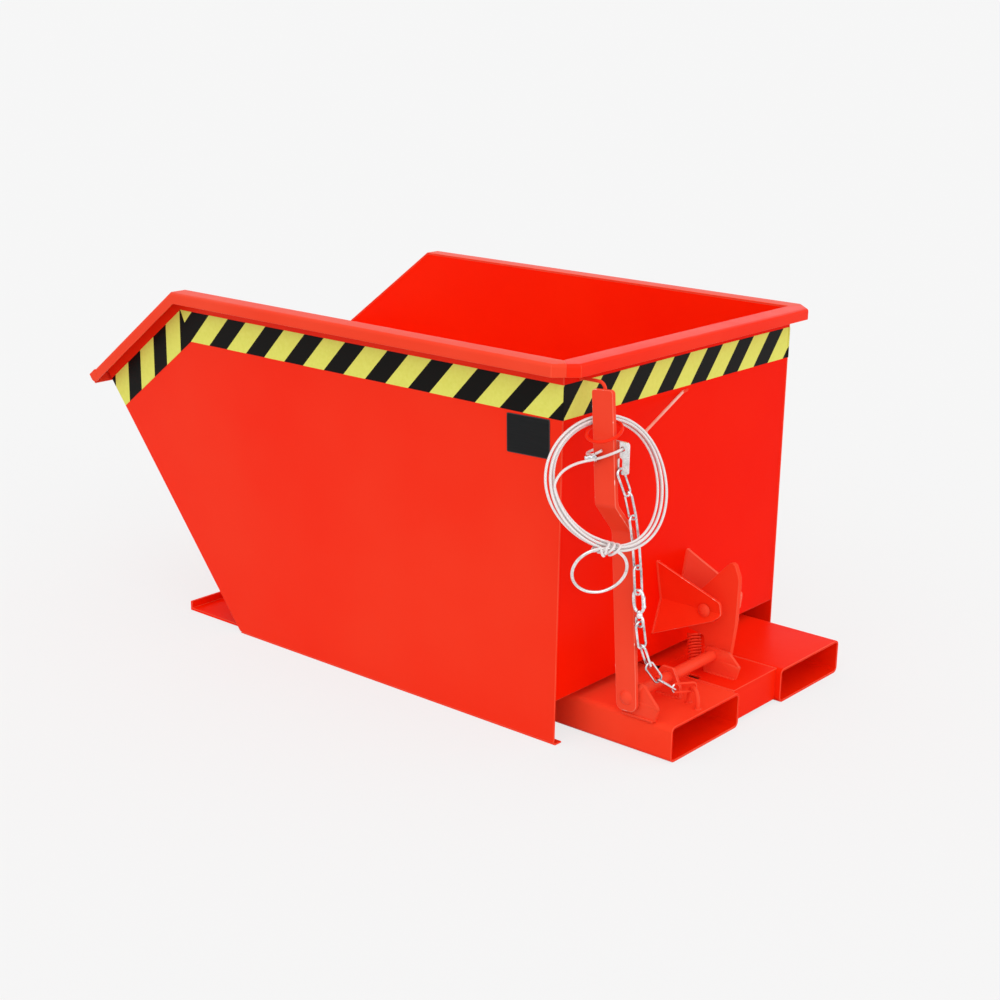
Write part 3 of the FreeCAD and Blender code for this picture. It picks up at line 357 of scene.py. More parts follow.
def joined(shapes):
    """Several shapes as one: the faces of each count on from the points before it."""
    counts = np.cumsum([0] + [len(points) for points, _ in shapes])
    faces = [[int(first + i) for i in face] for first, (_, own) in zip(counts, shapes) for face in own]
    return np.concatenate([points for points, _ in shapes]), faces


def in_metres(shape):
    """A shape whose points are in mm, with them in metres."""
    points, faces = shape
    return points * MM, faces


# a direction that no path here runs along
ASIDE = np.array([0.31, 0.48, 0.82])


def directions(path, looped):
    """The way of a path at each place."""
    if looped:
        return unit(np.roll(path, -1, 0) - np.roll(path, 1, 0))
    return unit(np.gradient(path, axis=0))


def carried(path, looped=False):
    """Two directions across each place of a path that turn with it and don't spin about it."""
    way = directions(path, looped)
    side = unit(np.cross(way, ASIDE))
    over = np.cross(way, side)
    both = way[:-1] + way[1:]
    turned = side[:-1] + 2 * way[1:] * np.sum(way[:-1] * side[:-1], -1, keepdims=True)
    turned -= both * (np.sum(both * side[:-1], -1) / (1 + np.sum(way[:-1] * way[1:], -1)))[:, None]
    step = np.arctan2(np.sum(turned * over[1:], -1), np.sum(turned * side[1:], -1))
    spin = np.concatenate([[0], np.cumsum(step)])[:, None]
    return side * np.cos(spin) - over * np.sin(spin), side * np.sin(spin) + over * np.cos(spin)


def lengths(path):
    """How far along a path each place is."""
    return np.concatenate([[0], np.cumsum(np.linalg.norm(np.diff(path, axis=0), axis=1))])


def tube(path, reach, columns, looped=False):
    """A circle of radius reach carried along a path, with its ends closed by fans unless it loops."""
    side, over = carried(path, looped)
    angle = 2 * np.pi * np.arange(columns) / columns
    circle = side[:, None] * np.cos(angle)[None, :, None] + over[:, None] * np.sin(angle)[None, :, None]
    if np.ndim(reach):
        reach = reach.reshape(len(path), -1, 1)
    points = (path[:, None] + reach * circle).reshape(-1, 3)
    faces = quads(len(path), columns, looped)
    if looped:
        return points, faces
    count, last = len(points), len(points) - columns
    ring = [(i, (i + 1) % columns) for i in range(columns)]
    faces += [[count, b, a] for a, b in ring] + [[count + 1, last + a, last + b] for a, b in ring]
    return np.concatenate([points, path[[0, -1]]]), faces


def smooth_line(name, points, step):
    """The places of a NURBS spline whose control points are a route's points, about a step apart."""
    curve = bpy.data.curves.new(name, "CURVE")
    curve.dimensions = "3D"
    spline = curve.splines.new("NURBS")
    spline.points.add(len(points) - 1)
    spline.points.foreach_set("co", np.c_[points, np.ones(len(points))].ravel())
    spline.order_u = 3
    spline.use_endpoint_u = True
    spans = np.linalg.norm(np.diff(points, axis=0), axis=1)
    curve.resolution_u = max(2, int(spans.max() / step))
    holder = bpy.data.objects.new(name, curve)
    mesh = bpy.data.meshes.new_from_object(holder)
    line = points_of(mesh)
    bpy.data.objects.remove(holder)
    bpy.data.curves.remove(curve)
    bpy.data.meshes.remove(mesh)
    return line


# rope in metres: its radius and the faces round it, its strands, one lay's length and the grooves' depth
ROPE_R, ROPE_SIDES = 2.25 * MM, 24
STRANDS, STRAND_LAY, STRAND_GROOVE = 6, 0.028, 0.13


def rope_tube(name, path):
    """A circle along a path, its radius dipping between strands that wind round once in each lay."""
    run = lengths(path)
    angle = 2 * np.pi * np.arange(ROPE_SIDES) / ROPE_SIDES
    crown = np.abs(np.cos(STRANDS / 2 * (angle[None, :] - 2 * np.pi * run[:, None] / STRAND_LAY)))
    shape = tube(path, ROPE_R * (1 - STRAND_GROOVE * (1 - crown)), ROPE_SIDES)
    uv = np.stack([np.broadcast_to(run[:, None], crown.shape), crown], -1).reshape(-1, 2)
    uv = np.concatenate([uv, [[0, 0.5], [run[-1], 0.5]]])
    return made(name, shape, ROPE_COAT, "latch", uv, "lay")


# release rope in mm: two layers of turns that spiral out and in again, hung round the lever
# the turns' radius, their step outwards, the distance of the layers, and the height as a share of the width
COIL_R, COIL_STEP, COIL_LAYER, COIL_FLAT = 104.5, 5.0, 5.7, 0.91
# the start in degrees, the turns tucked in before it, and those after it up to the reverse and in all
COIL_FROM, COIL_TUCK, COIL_REVERSE, COIL_TURNS = 230.0, 24 / 360, 2.444, 4 + 40 / 360
# how softly the spiral reverses, and half the stretch in which the rope changes layer, in turns
COIL_EASE, COIL_CROSSING = 0.1, 0.25
# how far the coil stands off its plane: all of it, more towards the bottom, and at top and bottom
COIL_SET, COIL_LEAN, COIL_BOW = 10.0, 40.0, 17.0
COIL_CENTRE = np.array([536.0, -299.0, 459.0])
COIL_NORMAL = np.array([0.95, -0.3122, 0.0])
COIL_ACROSS = np.array([0.3122, 0.95, 0.0])
# the route's points in a turn, and the smooth line's step
COIL_POINTS, ROPE_STEP = 26, 1.6 * MM
# how far loose turns stand off, where nothing ties them: at an angle, over a width, turn by turn
LOOSE_TURNS = ((180.0, 40.0, (-1.5, -1.0, 4.5, 1.0, -1.0)), (325.0, 44.0, (-4.0, 0.0, 4.0, -1.5, 0.0)))


def coil_spot(angle, outward=0.0, layer=0.0):
    """An oval in the coil's plane that leans out over the lever and the chain at its foot, in mm."""
    angle = np.asarray(angle, float)[..., None]
    lean = COIL_SET - COIL_LEAN * np.sin(angle) + COIL_BOW * np.sin(angle) ** 2
    across = COIL_ACROSS * ((COIL_R + outward) * np.cos(angle))
    up = UP * ((COIL_FLAT * COIL_R + outward) * np.sin(angle))
    return COIL_CENTRE + across + up + COIL_NORMAL * (lean + layer)


def coil_line():
    """Turns that step outwards up to the reverse, then inwards on the outer layer, some of them loose."""
    turns = np.linspace(-COIL_TUCK, COIL_TURNS, int((COIL_TUCK + COIL_TURNS) * COIL_POINTS) + 1)
    degrees = COIL_FROM - 360 * turns
    middle = turns - COIL_REVERSE
    outward = COIL_STEP * (1 - np.hypot(middle, COIL_EASE))
    for at, width, stand in LOOSE_TURNS:
        off = (degrees - at + 180) % 360 - 180
        passing = (COIL_FROM - at) % 360 / 360 + np.arange(len(stand))
        outward += np.interp(turns, passing, stand) * np.exp(-((off / width) ** 2))
    layer = COIL_LAYER / 2 * np.sin(2 * np.pi * np.clip(middle, -COIL_CROSSING, COIL_CROSSING))
    return coil_spot(np.radians(degrees), outward[:, None], layer[:, None])


# the tail's points from the rear edge, the near side and the coil's middle
TAIL = np.array([
    (34.8, -63.0, 4.0), (34.5, -55.0, 16.0), (36.0, -42.0, 26.0), (41.0, -23.0, 32.5), (48.0, -5.0, 35.5),
    (60.0, 7.0, 38.5), (74.0, 10.0, 44.5), (89.0, 10.5, 52.0), (98.5, 18.5, 57.5), (98.5, 31.0, 59.5),
    (89.0, 40.0, 59.0), (71.0, 41.0, 55.0), (53.0, 40.5, 50.5), (41.0, 36.0, 46.5), (35.0, 25.0, 43.5),
    (38.5, 13.0, 42.0), (49.0, 7.0, 43.0), (61.0, 8.0, 47.5), (70.0, 10.5, 54.0),
])
tail_line = TAIL + np.array([REAR / MM, NEAR / MM, COIL_CENTRE[2]])
rope_path = smooth_line("rope_line", np.concatenate([coil_line(), tail_line])[::-1] * MM, ROPE_STEP)
rope = rope_tube("release_rope", rope_path)
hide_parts("rope_coil", "rope_tail")

# binding in mm: the rope's end wound round the bundle and the pull ring
# its place on the coil, its turns, their clearance, their step along the bundle and their slant
BIND_AT, BIND_TURNS, BIND_CLEAR, BIND_STEP, BIND_SLANT = math.radians(250.0), 3.25, 1.2, 9.5, 8.0
# its points in a turn, the smooth line's step, and the small angle over which the bundle's way is read
BIND_POINTS, BIND_FINE, NUDGE = 20, 1.2 * MM, 0.01
# the pull ring's wire radius, and its clearance from the bundle
RING_WIRE, RING_CLEAR = 2.8, 0.3
# its free end: how far along the bundle, in front of it and below the first turn
FREE_END = ((9.0, 3.0, -1.0), (8.0, 3.6, 6.0), (5.5, 3.4, 11.5), (3.0, 2.8, 12.0), (1.0, 1.6, 6.5))


def binding_line():
    """An oval helix about the bundle, its turns at a slant, with a short free end bent back up."""
    wire = ROPE_R / MM
    bundle = coil_spot(BIND_AT)
    along = unit(coil_spot(BIND_AT + NUDGE) - coil_spot(BIND_AT - NUDGE))
    front = unit(COIL_NORMAL - along * COIL_NORMAL.dot(along))
    over = np.cross(along, front)
    strands = math.hypot(COIL_STEP, COIL_LAYER) / 2 + wire
    deep, tall = strands + RING_WIRE + BIND_CLEAR + wire, strands + BIND_CLEAR + wire
    turns = np.linspace(0, BIND_TURNS, int(BIND_TURNS * BIND_POINTS) + 1)[:, None]
    angle = 2 * np.pi * turns
    oval = front * (deep * np.cos(angle)) + over * (tall * np.sin(angle))
    run = BIND_STEP * (turns - BIND_TURNS / 2) - BIND_SLANT * np.sin(angle)
    helix = bundle + front * (RING_WIRE + RING_CLEAR / 2) + oval + along * run
    bent_end = helix[0] + np.array([along * a + front * f - UP * d for a, f, d in FREE_END])
    return np.concatenate([bent_end, helix])


binding = rope_tube("rope_binding", smooth_line("binding_line", binding_line() * MM, BIND_FINE))
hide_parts("rope_eye")


def superellipse(half_wide, half_tall, power, count):
    """An oval that goes from an ellipse at power 2 towards a rectangle as power grows."""
    angle = 2 * np.pi * np.arange(count) / count
    c, s = np.cos(angle), np.sin(angle)
    bend = 2 / power
    wide = half_wide * np.sign(c) * np.abs(c) ** bend
    tall = half_tall * np.sign(s) * np.abs(s) ** bend
    return np.stack([wide, tall], -1)


def lathe(centre, axis, side, profile, columns=24, stretch=1.0):
    """Pairs of height and radius turned about an axis, stretched square to side, with both ends closed."""
    over = np.cross(axis, side)
    angle = 2 * np.pi * np.arange(columns) / columns
    ring = side * np.cos(angle)[:, None] + over * (stretch * np.sin(angle))[:, None]
    profile = np.array(profile)
    points = centre + axis * profile[:, :1, None] + profile[:, 1:, None] * ring
    first, last = list(range(columns)), (len(profile) - 1) * columns
    ends = [first[::-1], [last + i for i in first]]
    return points.reshape(-1, 3), quads(len(profile), columns) + ends


# rope clip in mm: a pressed sleeve over both strands of the eye
CLIP_MIDDLE = np.array([533.4, -330.8, 498.3])
CLIP_WAY = unit(np.array([12.0, 9.0, 3.5]))
CLIP_SIDE = unit(np.cross(CLIP_WAY, np.array([0.0, -0.6, 1.0])))
CLIP_STRETCH = 1.45
CLIP_PROFILE = (
    (-9.0, 3.6), (-8.4, 4.3), (-5.6, 4.4), (-4.6, 3.9), (-3.4, 3.9), (-2.4, 4.4),
    (2.4, 4.4), (3.4, 3.9), (4.6, 3.9), (5.6, 4.4), (8.4, 4.3), (9.0, 3.6),
)
# tie wire: its radius, turns, half sizes across the sleeve, first place and step along it, and its tail
TIE_R, TIE_TURNS, TIE_SIDE, TIE_OVER = 1.0, 1.6, 6.4, 8.2
TIE_FROM, TIE_STEP, TIE_TAIL = 6.0, 2.4, 12.0
TIE_WAY = unit(np.array([0.45, -0.35, -0.75]))
TIE_POINTS, TIE_TAIL_POINTS = 40, 8


def tie_wire():
    """A thin helix round the sleeve's end that leaves it as a short straight tail."""
    turns = np.linspace(0, TIE_TURNS, TIE_POINTS)[:, None]
    angle = 2 * np.pi * turns
    over = np.cross(CLIP_WAY, CLIP_SIDE)
    ring = CLIP_SIDE * (TIE_SIDE * np.cos(angle)) + over * (TIE_OVER * np.sin(angle))
    wrap = CLIP_MIDDLE + ring + CLIP_WAY * (TIE_FROM + TIE_STEP * turns)
    tail = wrap[-1] + np.linspace(1, TIE_TAIL, TIE_TAIL_POINTS)[:, None] * TIE_WAY
    return tube(np.concatenate([wrap, tail]), TIE_R, columns=10)


sleeve = lathe(CLIP_MIDDLE, CLIP_WAY, CLIP_SIDE, CLIP_PROFILE, stretch=CLIP_STRETCH)
clip = made("rope_clip", in_metres(joined([sleeve, tie_wire()])), ZINC, "latch")
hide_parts("rope_clamp")

# how copies of CAD pieces are merged, flattened, shaded and rounded
MERGE_WITHIN = 2e-6
FLAT_WITHIN, SMOOTH_WITHIN, ROUND_FROM = (math.radians(degrees) for degrees in (0.3, 32, 35))
EDGE_STEPS = 2
SHEET_EDGE, TURNED_EDGE = 0.9 * MM, 0.4 * MM


def rounded(thing, width):
    """A bevel over every sharp edge of a piece."""
    edges = thing.modifiers.new("edges", "BEVEL")
    edges.width, edges.segments, edges.limit_method = width, EDGE_STEPS, "ANGLE"
    edges.angle_limit = ROUND_FROM
    return edges


def softened(node, finish, width, slot="red_paint"):
    """A merged copy of a CAD piece. Where it has a width, its sharp edges are rounded over by that much."""
    mesh = bpy.data.meshes.new(node + ".soft")
    shape = bmesh.new()
    shape.from_mesh(frame["nodes"][node].data)
    bmesh.ops.remove_doubles(shape, verts=shape.verts, dist=MERGE_WITHIN)
    if width:
        bmesh.ops.dissolve_limit(shape, angle_limit=FLAT_WITHIN, verts=shape.verts, edges=shape.edges)
    shape.to_mesh(mesh)
    shape.free()
    mesh.materials.clear()
    mesh.materials.append(finish)
    mesh.shade_smooth()
    mesh.set_sharp_from_angle(angle=SMOOTH_WITHIN)
    thing = bpy.data.objects.new(node + ".soft", mesh)
    scene.collection.objects.link(thing)
    if width:
        edges = rounded(thing, width)
        edges.harden_normals = True
        # the rounded edges take a paler red as painted highlight
        if slot == "red_paint":
            mesh.materials.append(EDGE_HIGHLIGHT_RED if finish in PALE_EDGED else SHEET_EDGE_HIGHLIGHT_RED)
            edges.material = 1
    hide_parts(node)
    return thing


pull_ring = softened("pull_ring", STEEL, 0, "zinc")
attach(pull_ring, "latch")

# chain: a merged copy of the CAD chain
# where its painted links start along Y, and how much its wire is thinned all round
PAINTED_FROM_Y, WIRE_THINNED = -0.198, 0.45 * MM
chain = softened("safety_chain", ZINC, 0, "zinc")
outward = np.empty(3 * len(chain.data.vertices))
chain.data.vertices.foreach_get("normal", outward)
chain.data.vertices.foreach_set("co", points_of(chain.data).ravel() - WIRE_THINNED * outward)
chain.data.update()
chain.data.materials.append(SHEEN_FITTING_RED)
middles = np.empty(3 * len(chain.data.polygons))
chain.data.polygons.foreach_get("center", middles)
chain.data.polygons.foreach_set("material_index", (middles[1::3] > PAINTED_FROM_Y).astype(int))
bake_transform(chain)

# snap hook in mm: two wire loops, a swivel barrel between them and a gate
SNAP_MIDDLE = np.array([602.5, -282.3, 255.6])
SNAP_UP = unit(np.array([-6.9, -4.6, 92.0]))
SNAP_SIDE = unit(X_WAY - SNAP_UP * SNAP_UP[0])
SNAP_POWER = 2.7
# each loop's half width, half height, height above the middle and wire radius
HOOK_LOOP, EYE_LOOP = (9.7, 18.5, 12.0, 2.8), (6.6, 8.4, -22.4, 2.4)
BARREL = ((-17.0, 2.6), (-16.0, 4.6), (-12.5, 5.4), (-9.0, 5.0), (-7.5, 3.4), (-6.0, 4.4), (-3.5, 3.0))
GATE = ((1.0, 2.4), (1.6, 3.7), (5.0, 3.7), (5.6, 3.3), (20.0, 3.3), (21.5, 2.4))


def snap_loop(half_wide, half_tall, height, wire):
    """A round wire along an upright oval at a height above the snap hook's middle."""
    oval = superellipse(half_wide, half_tall, SNAP_POWER, count=64)
    path = SNAP_MIDDLE + SNAP_SIDE * oval[:, :1] + SNAP_UP * (oval[:, 1:] + height)
    return tube(path, wire, columns=16, looped=True)


gate_foot = SNAP_MIDDLE + SNAP_SIDE * HOOK_LOOP[0]
snap_parts = [
    snap_loop(*HOOK_LOOP),
    snap_loop(*EYE_LOOP),
    lathe(SNAP_MIDDLE, SNAP_UP, SNAP_SIDE, BARREL),
    lathe(gate_foot, SNAP_UP, SNAP_SIDE, GATE),
]
snap = made("snap_hook.swivel", in_metres(joined(snap_parts)), ZINC)
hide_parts("snap_hook")
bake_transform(snap)

# spring: a merged copy of the CAD spring
spring = softened("latch_spring", SHEEN_FITTING_RED, 0)
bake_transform(spring)

# every other CAD piece: its paint, and how far its edges are rounded
body_of = {node: body for body, nodes in behaviour["bodies"].items() for node in nodes}
# these reds are lit, sheened and shaded copies of one paint, by how light falls on each piece
PAINT = (
    (SHADED_WALL_RED, ("rear_wall",)),
    (INSIDE_SHADE_RED, ("front_wall", "skip_floor", "side_plate_far", "front_tray", "runner_far")),
    (SHEET_RED, ("side_plate_near", "runner_near", "rest_bar_front", "rest_bar_rear")),
    (SHEET_RED, ("lever_ring", "rim_rear")),
    (SHEEN_BASE_RED, ("fork_pocket_near", "tip_lugs_frame", "latch_hook")),
    (SHEEN_RIM_RED, ("rim_near", "rim_far", "pouring_lip")),
    (LIT_CHEEK_RED, ("striker_cheek_far",)),
    (LIT_LATCH_RED, ("striker_cheek_near",)),
    (SHADED_PLATE_RED, ("rear_cross_plate", "fork_pocket_far")),
    (ROD_SHEEN_RED, ("rope_hanger",)),
)
paint_of = {node: finish for finish, nodes in PAINT for node in nodes}
FORK_POCKETS = {"fork_pocket_near", "fork_pocket_far"}
TURNED = {"rope_hanger", "lever_keeper", "lever_ring", "tip_pins"}
TURNED |= {"striker_pin", "latch_shaft", "shaft_cap"}
CUT_SQUARE = {"shaft_lug_lever", "shaft_lug_hook", "front_wall", "skip_floor"}
done = {"rope_coil", "rope_tail", "rope_eye", "rope_clamp", "pull_ring"}
done |= {"safety_chain", "snap_hook", "latch_spring", "chain_staple", "chain_plate"}


def painted_shade_inside(pocket):
    """The faces of a tube along X that look at its middle line take the inside paint, a deeper red as
    painted shade.
    """
    mesh = pocket.data
    centres, normals = np.empty((2, 3 * len(mesh.polygons)))
    mesh.polygons.foreach_get("center", centres)
    mesh.polygons.foreach_get("normal", normals)
    corners = points_of(mesh)
    middle = (corners.min(0) + corners.max(0)) / 2
    inward = (middle - centres.reshape(-1, 3)) * normals.reshape(-1, 3)
    mesh.materials.append(INSIDE_SHADE_RED)
    inner = len(mesh.materials) - 1
    mesh.polygons.foreach_set("material_index", np.where(inward[:, 1:].sum(1) > 0, inner, 0))


chain_plate = softened("chain_plate", STEEL, TURNED_EDGE, "zinc")
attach(chain_plate, "latch")
for node in sorted(set(body_of) - done):
    edge = TURNED_EDGE if node in TURNED else SHEET_EDGE
    thing = softened(node, paint_of.get(node, SHEEN_FITTING_RED), 0 if node in CUT_SQUARE else edge)
    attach(thing, body_of[node])
    # the pockets' insides take a deeper red as painted shade
    if node in FORK_POCKETS:
        painted_shade_inside(thing)

# staple that holds the chain, in mm
STAPLE_R, STAPLE_TOP, STAPLE_POWER, STAPLE_SUNK = 3.8, 93.2, 2.5, 1.0
STAPLE_FEET = np.array([(625.0, -160.0), (653.0, -175.0)])
STAPLE_POINTS = 49


def staple_line():
    """Half an oval, a little squared, that stands over both feet."""
    angle = np.linspace(0, np.pi, STAPLE_POINTS)[:, None]
    bend = 2 / STAPLE_POWER
    across = np.sign(np.cos(angle)) * np.abs(np.cos(angle)) ** bend
    middle, half = STAPLE_FEET.mean(0), (STAPLE_FEET[1] - STAPLE_FEET[0]) / 2
    foot = POCKET_TOP / MM - STAPLE_SUNK
    rise = foot + (STAPLE_TOP - foot) * np.sin(angle) ** bend
    return np.concatenate([middle + half * across, rise], -1)


staple_shape = in_metres(tube(staple_line(), STAPLE_R, columns=20))
staple = made("chain_staple.arch", staple_shape, SHEEN_FITTING_RED, "base_frame")
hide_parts("chain_staple")

# the cross plate's run under the rear wall, in mm, with one corner notched
UNDER_FRONT, UNDER_REAR, UNDER_HALF, UNDER_THICK = 436.0, 501.0, 66.4, 4.0
NOTCH_FRONT, NOTCH_EDGE = 489.0, -56.0


def under_plate():
    """A flat outline with one corner cut out, carried down by the plate's thickness."""
    notch = [(UNDER_REAR, NOTCH_EDGE), (NOTCH_FRONT, NOTCH_EDGE), (NOTCH_FRONT, -UNDER_HALF)]
    outline = notch + [(UNDER_FRONT, -UNDER_HALF), (UNDER_FRONT, UNDER_HALF), (UNDER_REAR, UNDER_HALF)]
    count = len(outline)
    top = np.c_[outline, np.full(count, POCKET_TOP / MM)]
    points = np.concatenate([top, top - UP * UNDER_THICK]) * MM
    sides = [[i, i + count, (i + 1) % count + count, (i + 1) % count] for i in range(count)]
    faces = [list(range(count))[::-1], list(range(count, 2 * count))] + [side[::-1] for side in sides]
    shape = (points, faces)
    plate = made("cross_plate_run", shape, SHADED_PLATE_RED, "base_frame", smooth=False)
    rounded(plate, SHEET_EDGE)


under_plate()

# weld seams in mm: how much a bead swells, how often, how finely it is made, and the way a ring starts from
RIPPLE, RIPPLE_PITCH, BEAD_STEP, BEAD_SIDES = 0.14, 4.2, 0.9, 10
RING_START, RING_POINTS = np.array([0.3, 0.5, 0.81]), 48


def seam(points, radius, looped=False):
    """A bead along straight runs through points, whose radius swells and dips once in each pitch."""
    path = np.array(points, float)
    if not looped:
        corners, run = path, lengths(path)
        at = np.linspace(0, run[-1], max(8, int(run[-1] / BEAD_STEP)))
        path = np.stack([np.interp(at, run, corners[:, k]) for k in range(3)], -1)
    swell = 1 + RIPPLE * np.sin(2 * np.pi * lengths(path) / RIPPLE_PITCH)
    return in_metres(tube(path, radius * swell, BEAD_SIDES, looped))


def ring_seam(centre, axis, around, radius):
    """A bead round a rod."""
    side = unit(np.cross(axis, RING_START))
    angle = np.linspace(0, 2 * np.pi, RING_POINTS, endpoint=False)[:, None]
    ring = side * np.cos(angle) + np.cross(axis, side) * np.sin(angle)
    return seam(np.array(centre) + around * ring, radius, looped=True)


SHAFT_X, _, SHAFT_Z = SHAFT / MM
NEAR_MM, WALL_MM, TOP_MM = NEAR / MM, WALL / MM, POCKET_TOP / MM
# how far a bead's middle stands off a plate's faces: at the cheeks, and at a foot
CHEEK_OFF, FOOT_OFF = 0.6, 0.4
# the near cheek's fold at the wall: heights from the striker pin, and places from the near side
CHEEK_FOLD = np.array([(-61.0, 272.4), (-1.0, 293.5), (70.0, 276.9)])
# a cheek's thickness along Y, the middle between both cheeks from the near side, and the bead's radius
CHEEK_THICK, CHEEK_MIDDLE, CHEEK_BEAD = 5.2, 325.5, 2.3
# each shaft lug: its place from the near side, and its foot's two ends from the shaft
LUG_FEET = ((68.5, -13, 48), (176.0, -20, 25), (308.0, -13, 48))
LUG_THICK, LUG_BEAD = 6.0, 2.4
STAPLE_RING, STAPLE_BEAD = 4.6, 2.0
# the cross plate's sides, from one end to the other, and the hook's faces from the near side
CROSS_FROM, CROSS_TO, CROSS_Y, CROSS_Z, CROSS_BEAD = 502.0, 654.0, 68.2, 60.2, 3.0
HOOK_FACES, HOOK_RING, HOOK_BEAD = (320.2, 330.8), 10.9, 1.9
# the keeper's root from the near side and up, and the hanger's foot off the wall, across and up
KEEPER_ROOT, KEEPER_RING, KEEPER_BEAD = (45.0, 611.0), 3.4, 1.6
HANGER_FOOT, HANGER_BEAD = np.array([(0.6, 8.0, 542.6), (2.0, -12.0, 539.8)]), 2.4


def cheek_seams():
    """A bead on both faces of each folded cheek, where it meets the wall."""
    beads = []
    for face in (-CHEEK_OFF, CHEEK_THICK + CHEEK_OFF):
        across = CHEEK_FOLD[:, 1] + face
        for y in (across, 2 * CHEEK_MIDDLE - across):
            wall = np.full(3, WALL_MM + CHEEK_OFF)
            line = np.stack([wall, NEAR_MM + y, STRIKER_Z / MM + CHEEK_FOLD[:, 0]], -1)
            beads.append(seam(line, CHEEK_BEAD))
    return beads


def lug_seams():
    """A bead along both feet of each shaft lug."""
    beads = []
    for y, low, high in LUG_FEET:
        for face in (-FOOT_OFF, LUG_THICK + FOOT_OFF):
            line = [(SHAFT_X + x, NEAR_MM + y + face, TOP_MM + FOOT_OFF) for x in (low, high)]
            beads.append(seam(line, LUG_BEAD))
    return beads


def rod_seams():
    """A ring round the keeper's root and a short bead under the hanger's foot."""
    root = (WALL_MM + FOOT_OFF, NEAR_MM + KEEPER_ROOT[0], KEEPER_ROOT[1])
    foot = HANGER_FOOT + X_WAY * WALL_MM
    return [ring_seam(root, X_WAY, KEEPER_RING, KEEPER_BEAD), seam(foot, HANGER_BEAD)]


def cross_seams():
    """A bead along both sides of the rear cross plate."""
    ends = (CROSS_FROM, CROSS_TO)
    return [seam([(x, y, CROSS_Z) for x in ends], CROSS_BEAD) for y in (-CROSS_Y, CROSS_Y)]


staple_seams = [ring_seam((*foot, TOP_MM + FOOT_OFF), UP, STAPLE_RING, STAPLE_BEAD) for foot in STAPLE_FEET]
hook_seams = [ring_seam((SHAFT_X, NEAR_MM + y, SHAFT_Z), Y_WAY, HOOK_RING, HOOK_BEAD) for y in HOOK_FACES]
frame_seams = lug_seams() + staple_seams + cross_seams()
made("frame_welds", joined(frame_seams), SHEEN_FITTING_RED, "base_frame")
made("skip_welds", joined(cheek_seams() + rod_seams()), SHEEN_FITTING_RED, "skip")
made("latch_welds", joined(hook_seams), SHEEN_FITTING_RED, "latch")

# hazard tape in metres from the rear edge and up: its level edges, and where its mitre starts and ends
TAPE_LOW, TAPE_HIGH = 0.5495, 0.606
MITRE_HIGH, MITRE_LOW = -0.9075, -0.880
# how far it stands proud of its plate, and stops short of the plate's front edge
TAPE_PROUD, TAPE_SHORT = 0.4 * MM, 1.0 * MM
# the slope's angle, and the front edge's line: its foot, and how far it runs forward for each metre up
SLOPE, FRONT_FOOT, FRONT_RUN = math.radians(37.5), -0.7627, 0.8165
# how upright the bands stand on the slope and at the rear, and where they start along each tape
SLOPE_BANDS, REAR_BANDS = math.tan(SLOPE) / BAND_SLANT, 0.92
LEVEL_PHASE, SLOPE_PHASE, REAR_PHASE = 0.028, 0.038, -0.054


def tape_piece(name, corners, uv, outward):
    """A flat four-cornered band lifted off its plate, with a thin edge all round."""
    flat = np.array(corners, float)
    points = np.concatenate([flat + outward * TAPE_PROUD, flat])
    faces = [[0, 1, 2, 3]] + [[i, i + 4, (i + 1) % 4 + 4, (i + 1) % 4] for i in range(4)]
    if np.dot(np.cross(flat[1] - flat[0], flat[2] - flat[1]), outward) < 0:
        faces = [face[::-1] for face in faces]
    made(name, (points, faces), TAPE, "skip", np.tile(np.array(uv, float), (2, 1)), "tape", smooth=False)


def side_tapes(label, y, outward):
    """The level band and the band down the slope, which meet in a mitre."""
    end = TAPE_PROUD
    level = np.array([(MITRE_LOW, TAPE_LOW), (end, TAPE_LOW), (end, TAPE_HIGH), (MITRE_HIGH, TAPE_HIGH)])
    along = np.array([math.cos(SLOPE), math.sin(SLOPE)])
    across = np.array([-math.sin(SLOPE), math.cos(SLOPE)])
    tops = level[[0, 3]]
    run = (tops[:, 0] - FRONT_FOOT + FRONT_RUN * tops[:, 1]) / (along[0] + FRONT_RUN * along[1])
    fronts = tops - (run - TAPE_SHORT)[:, None] * along
    slope = np.array([fronts[0], tops[0], tops[1], fronts[1]])
    off = slope - tops[0]
    slope_uv = np.stack([off @ along + SLOPE_PHASE, off @ across * SLOPE_BANDS], -1)
    level_uv = level + np.array([LEVEL_PHASE, -TAPE_LOW])
    for name, flat, uv in (("level", level, level_uv), ("slope", slope, slope_uv)):
        corners = np.stack([REAR + flat[:, 0], np.full(4, y), flat[:, 1]], -1)
        tape_piece(f"tape_{name}_{label}", corners, uv, outward)


def rear_tape():
    """A band across the rear wall: a line along Y that steps over both side plates' edges, carried up."""
    low, high = NEAR - TAPE_PROUD, FAR + TAPE_PROUD
    y = np.array([low, NEAR + SHEET, NEAR + SHEET, FAR - SHEET, FAR - SHEET, high])
    x = np.array([REAR, REAR, WALL, WALL, REAR, REAR]) + TAPE_PROUD
    count = len(y)
    line = np.stack([x, y, np.full(count, TAPE_LOW)], -1)
    tall = TAPE_HIGH - TAPE_LOW
    points = np.concatenate([line, line + UP * tall])
    faces = [[i, i + 1, i + 1 + count, i + count] for i in range(count - 1)]
    uv = np.stack([np.tile(y - NEAR, 2) + REAR_PHASE, np.repeat([0.0, tall * REAR_BANDS], count)], -1)
    made("tape_rear", (points, faces), TAPE, "skip", uv, "tape", smooth=False)


side_tapes("near", NEAR, -Y_WAY)
side_tapes("far", FAR, Y_WAY)
rear_tape()

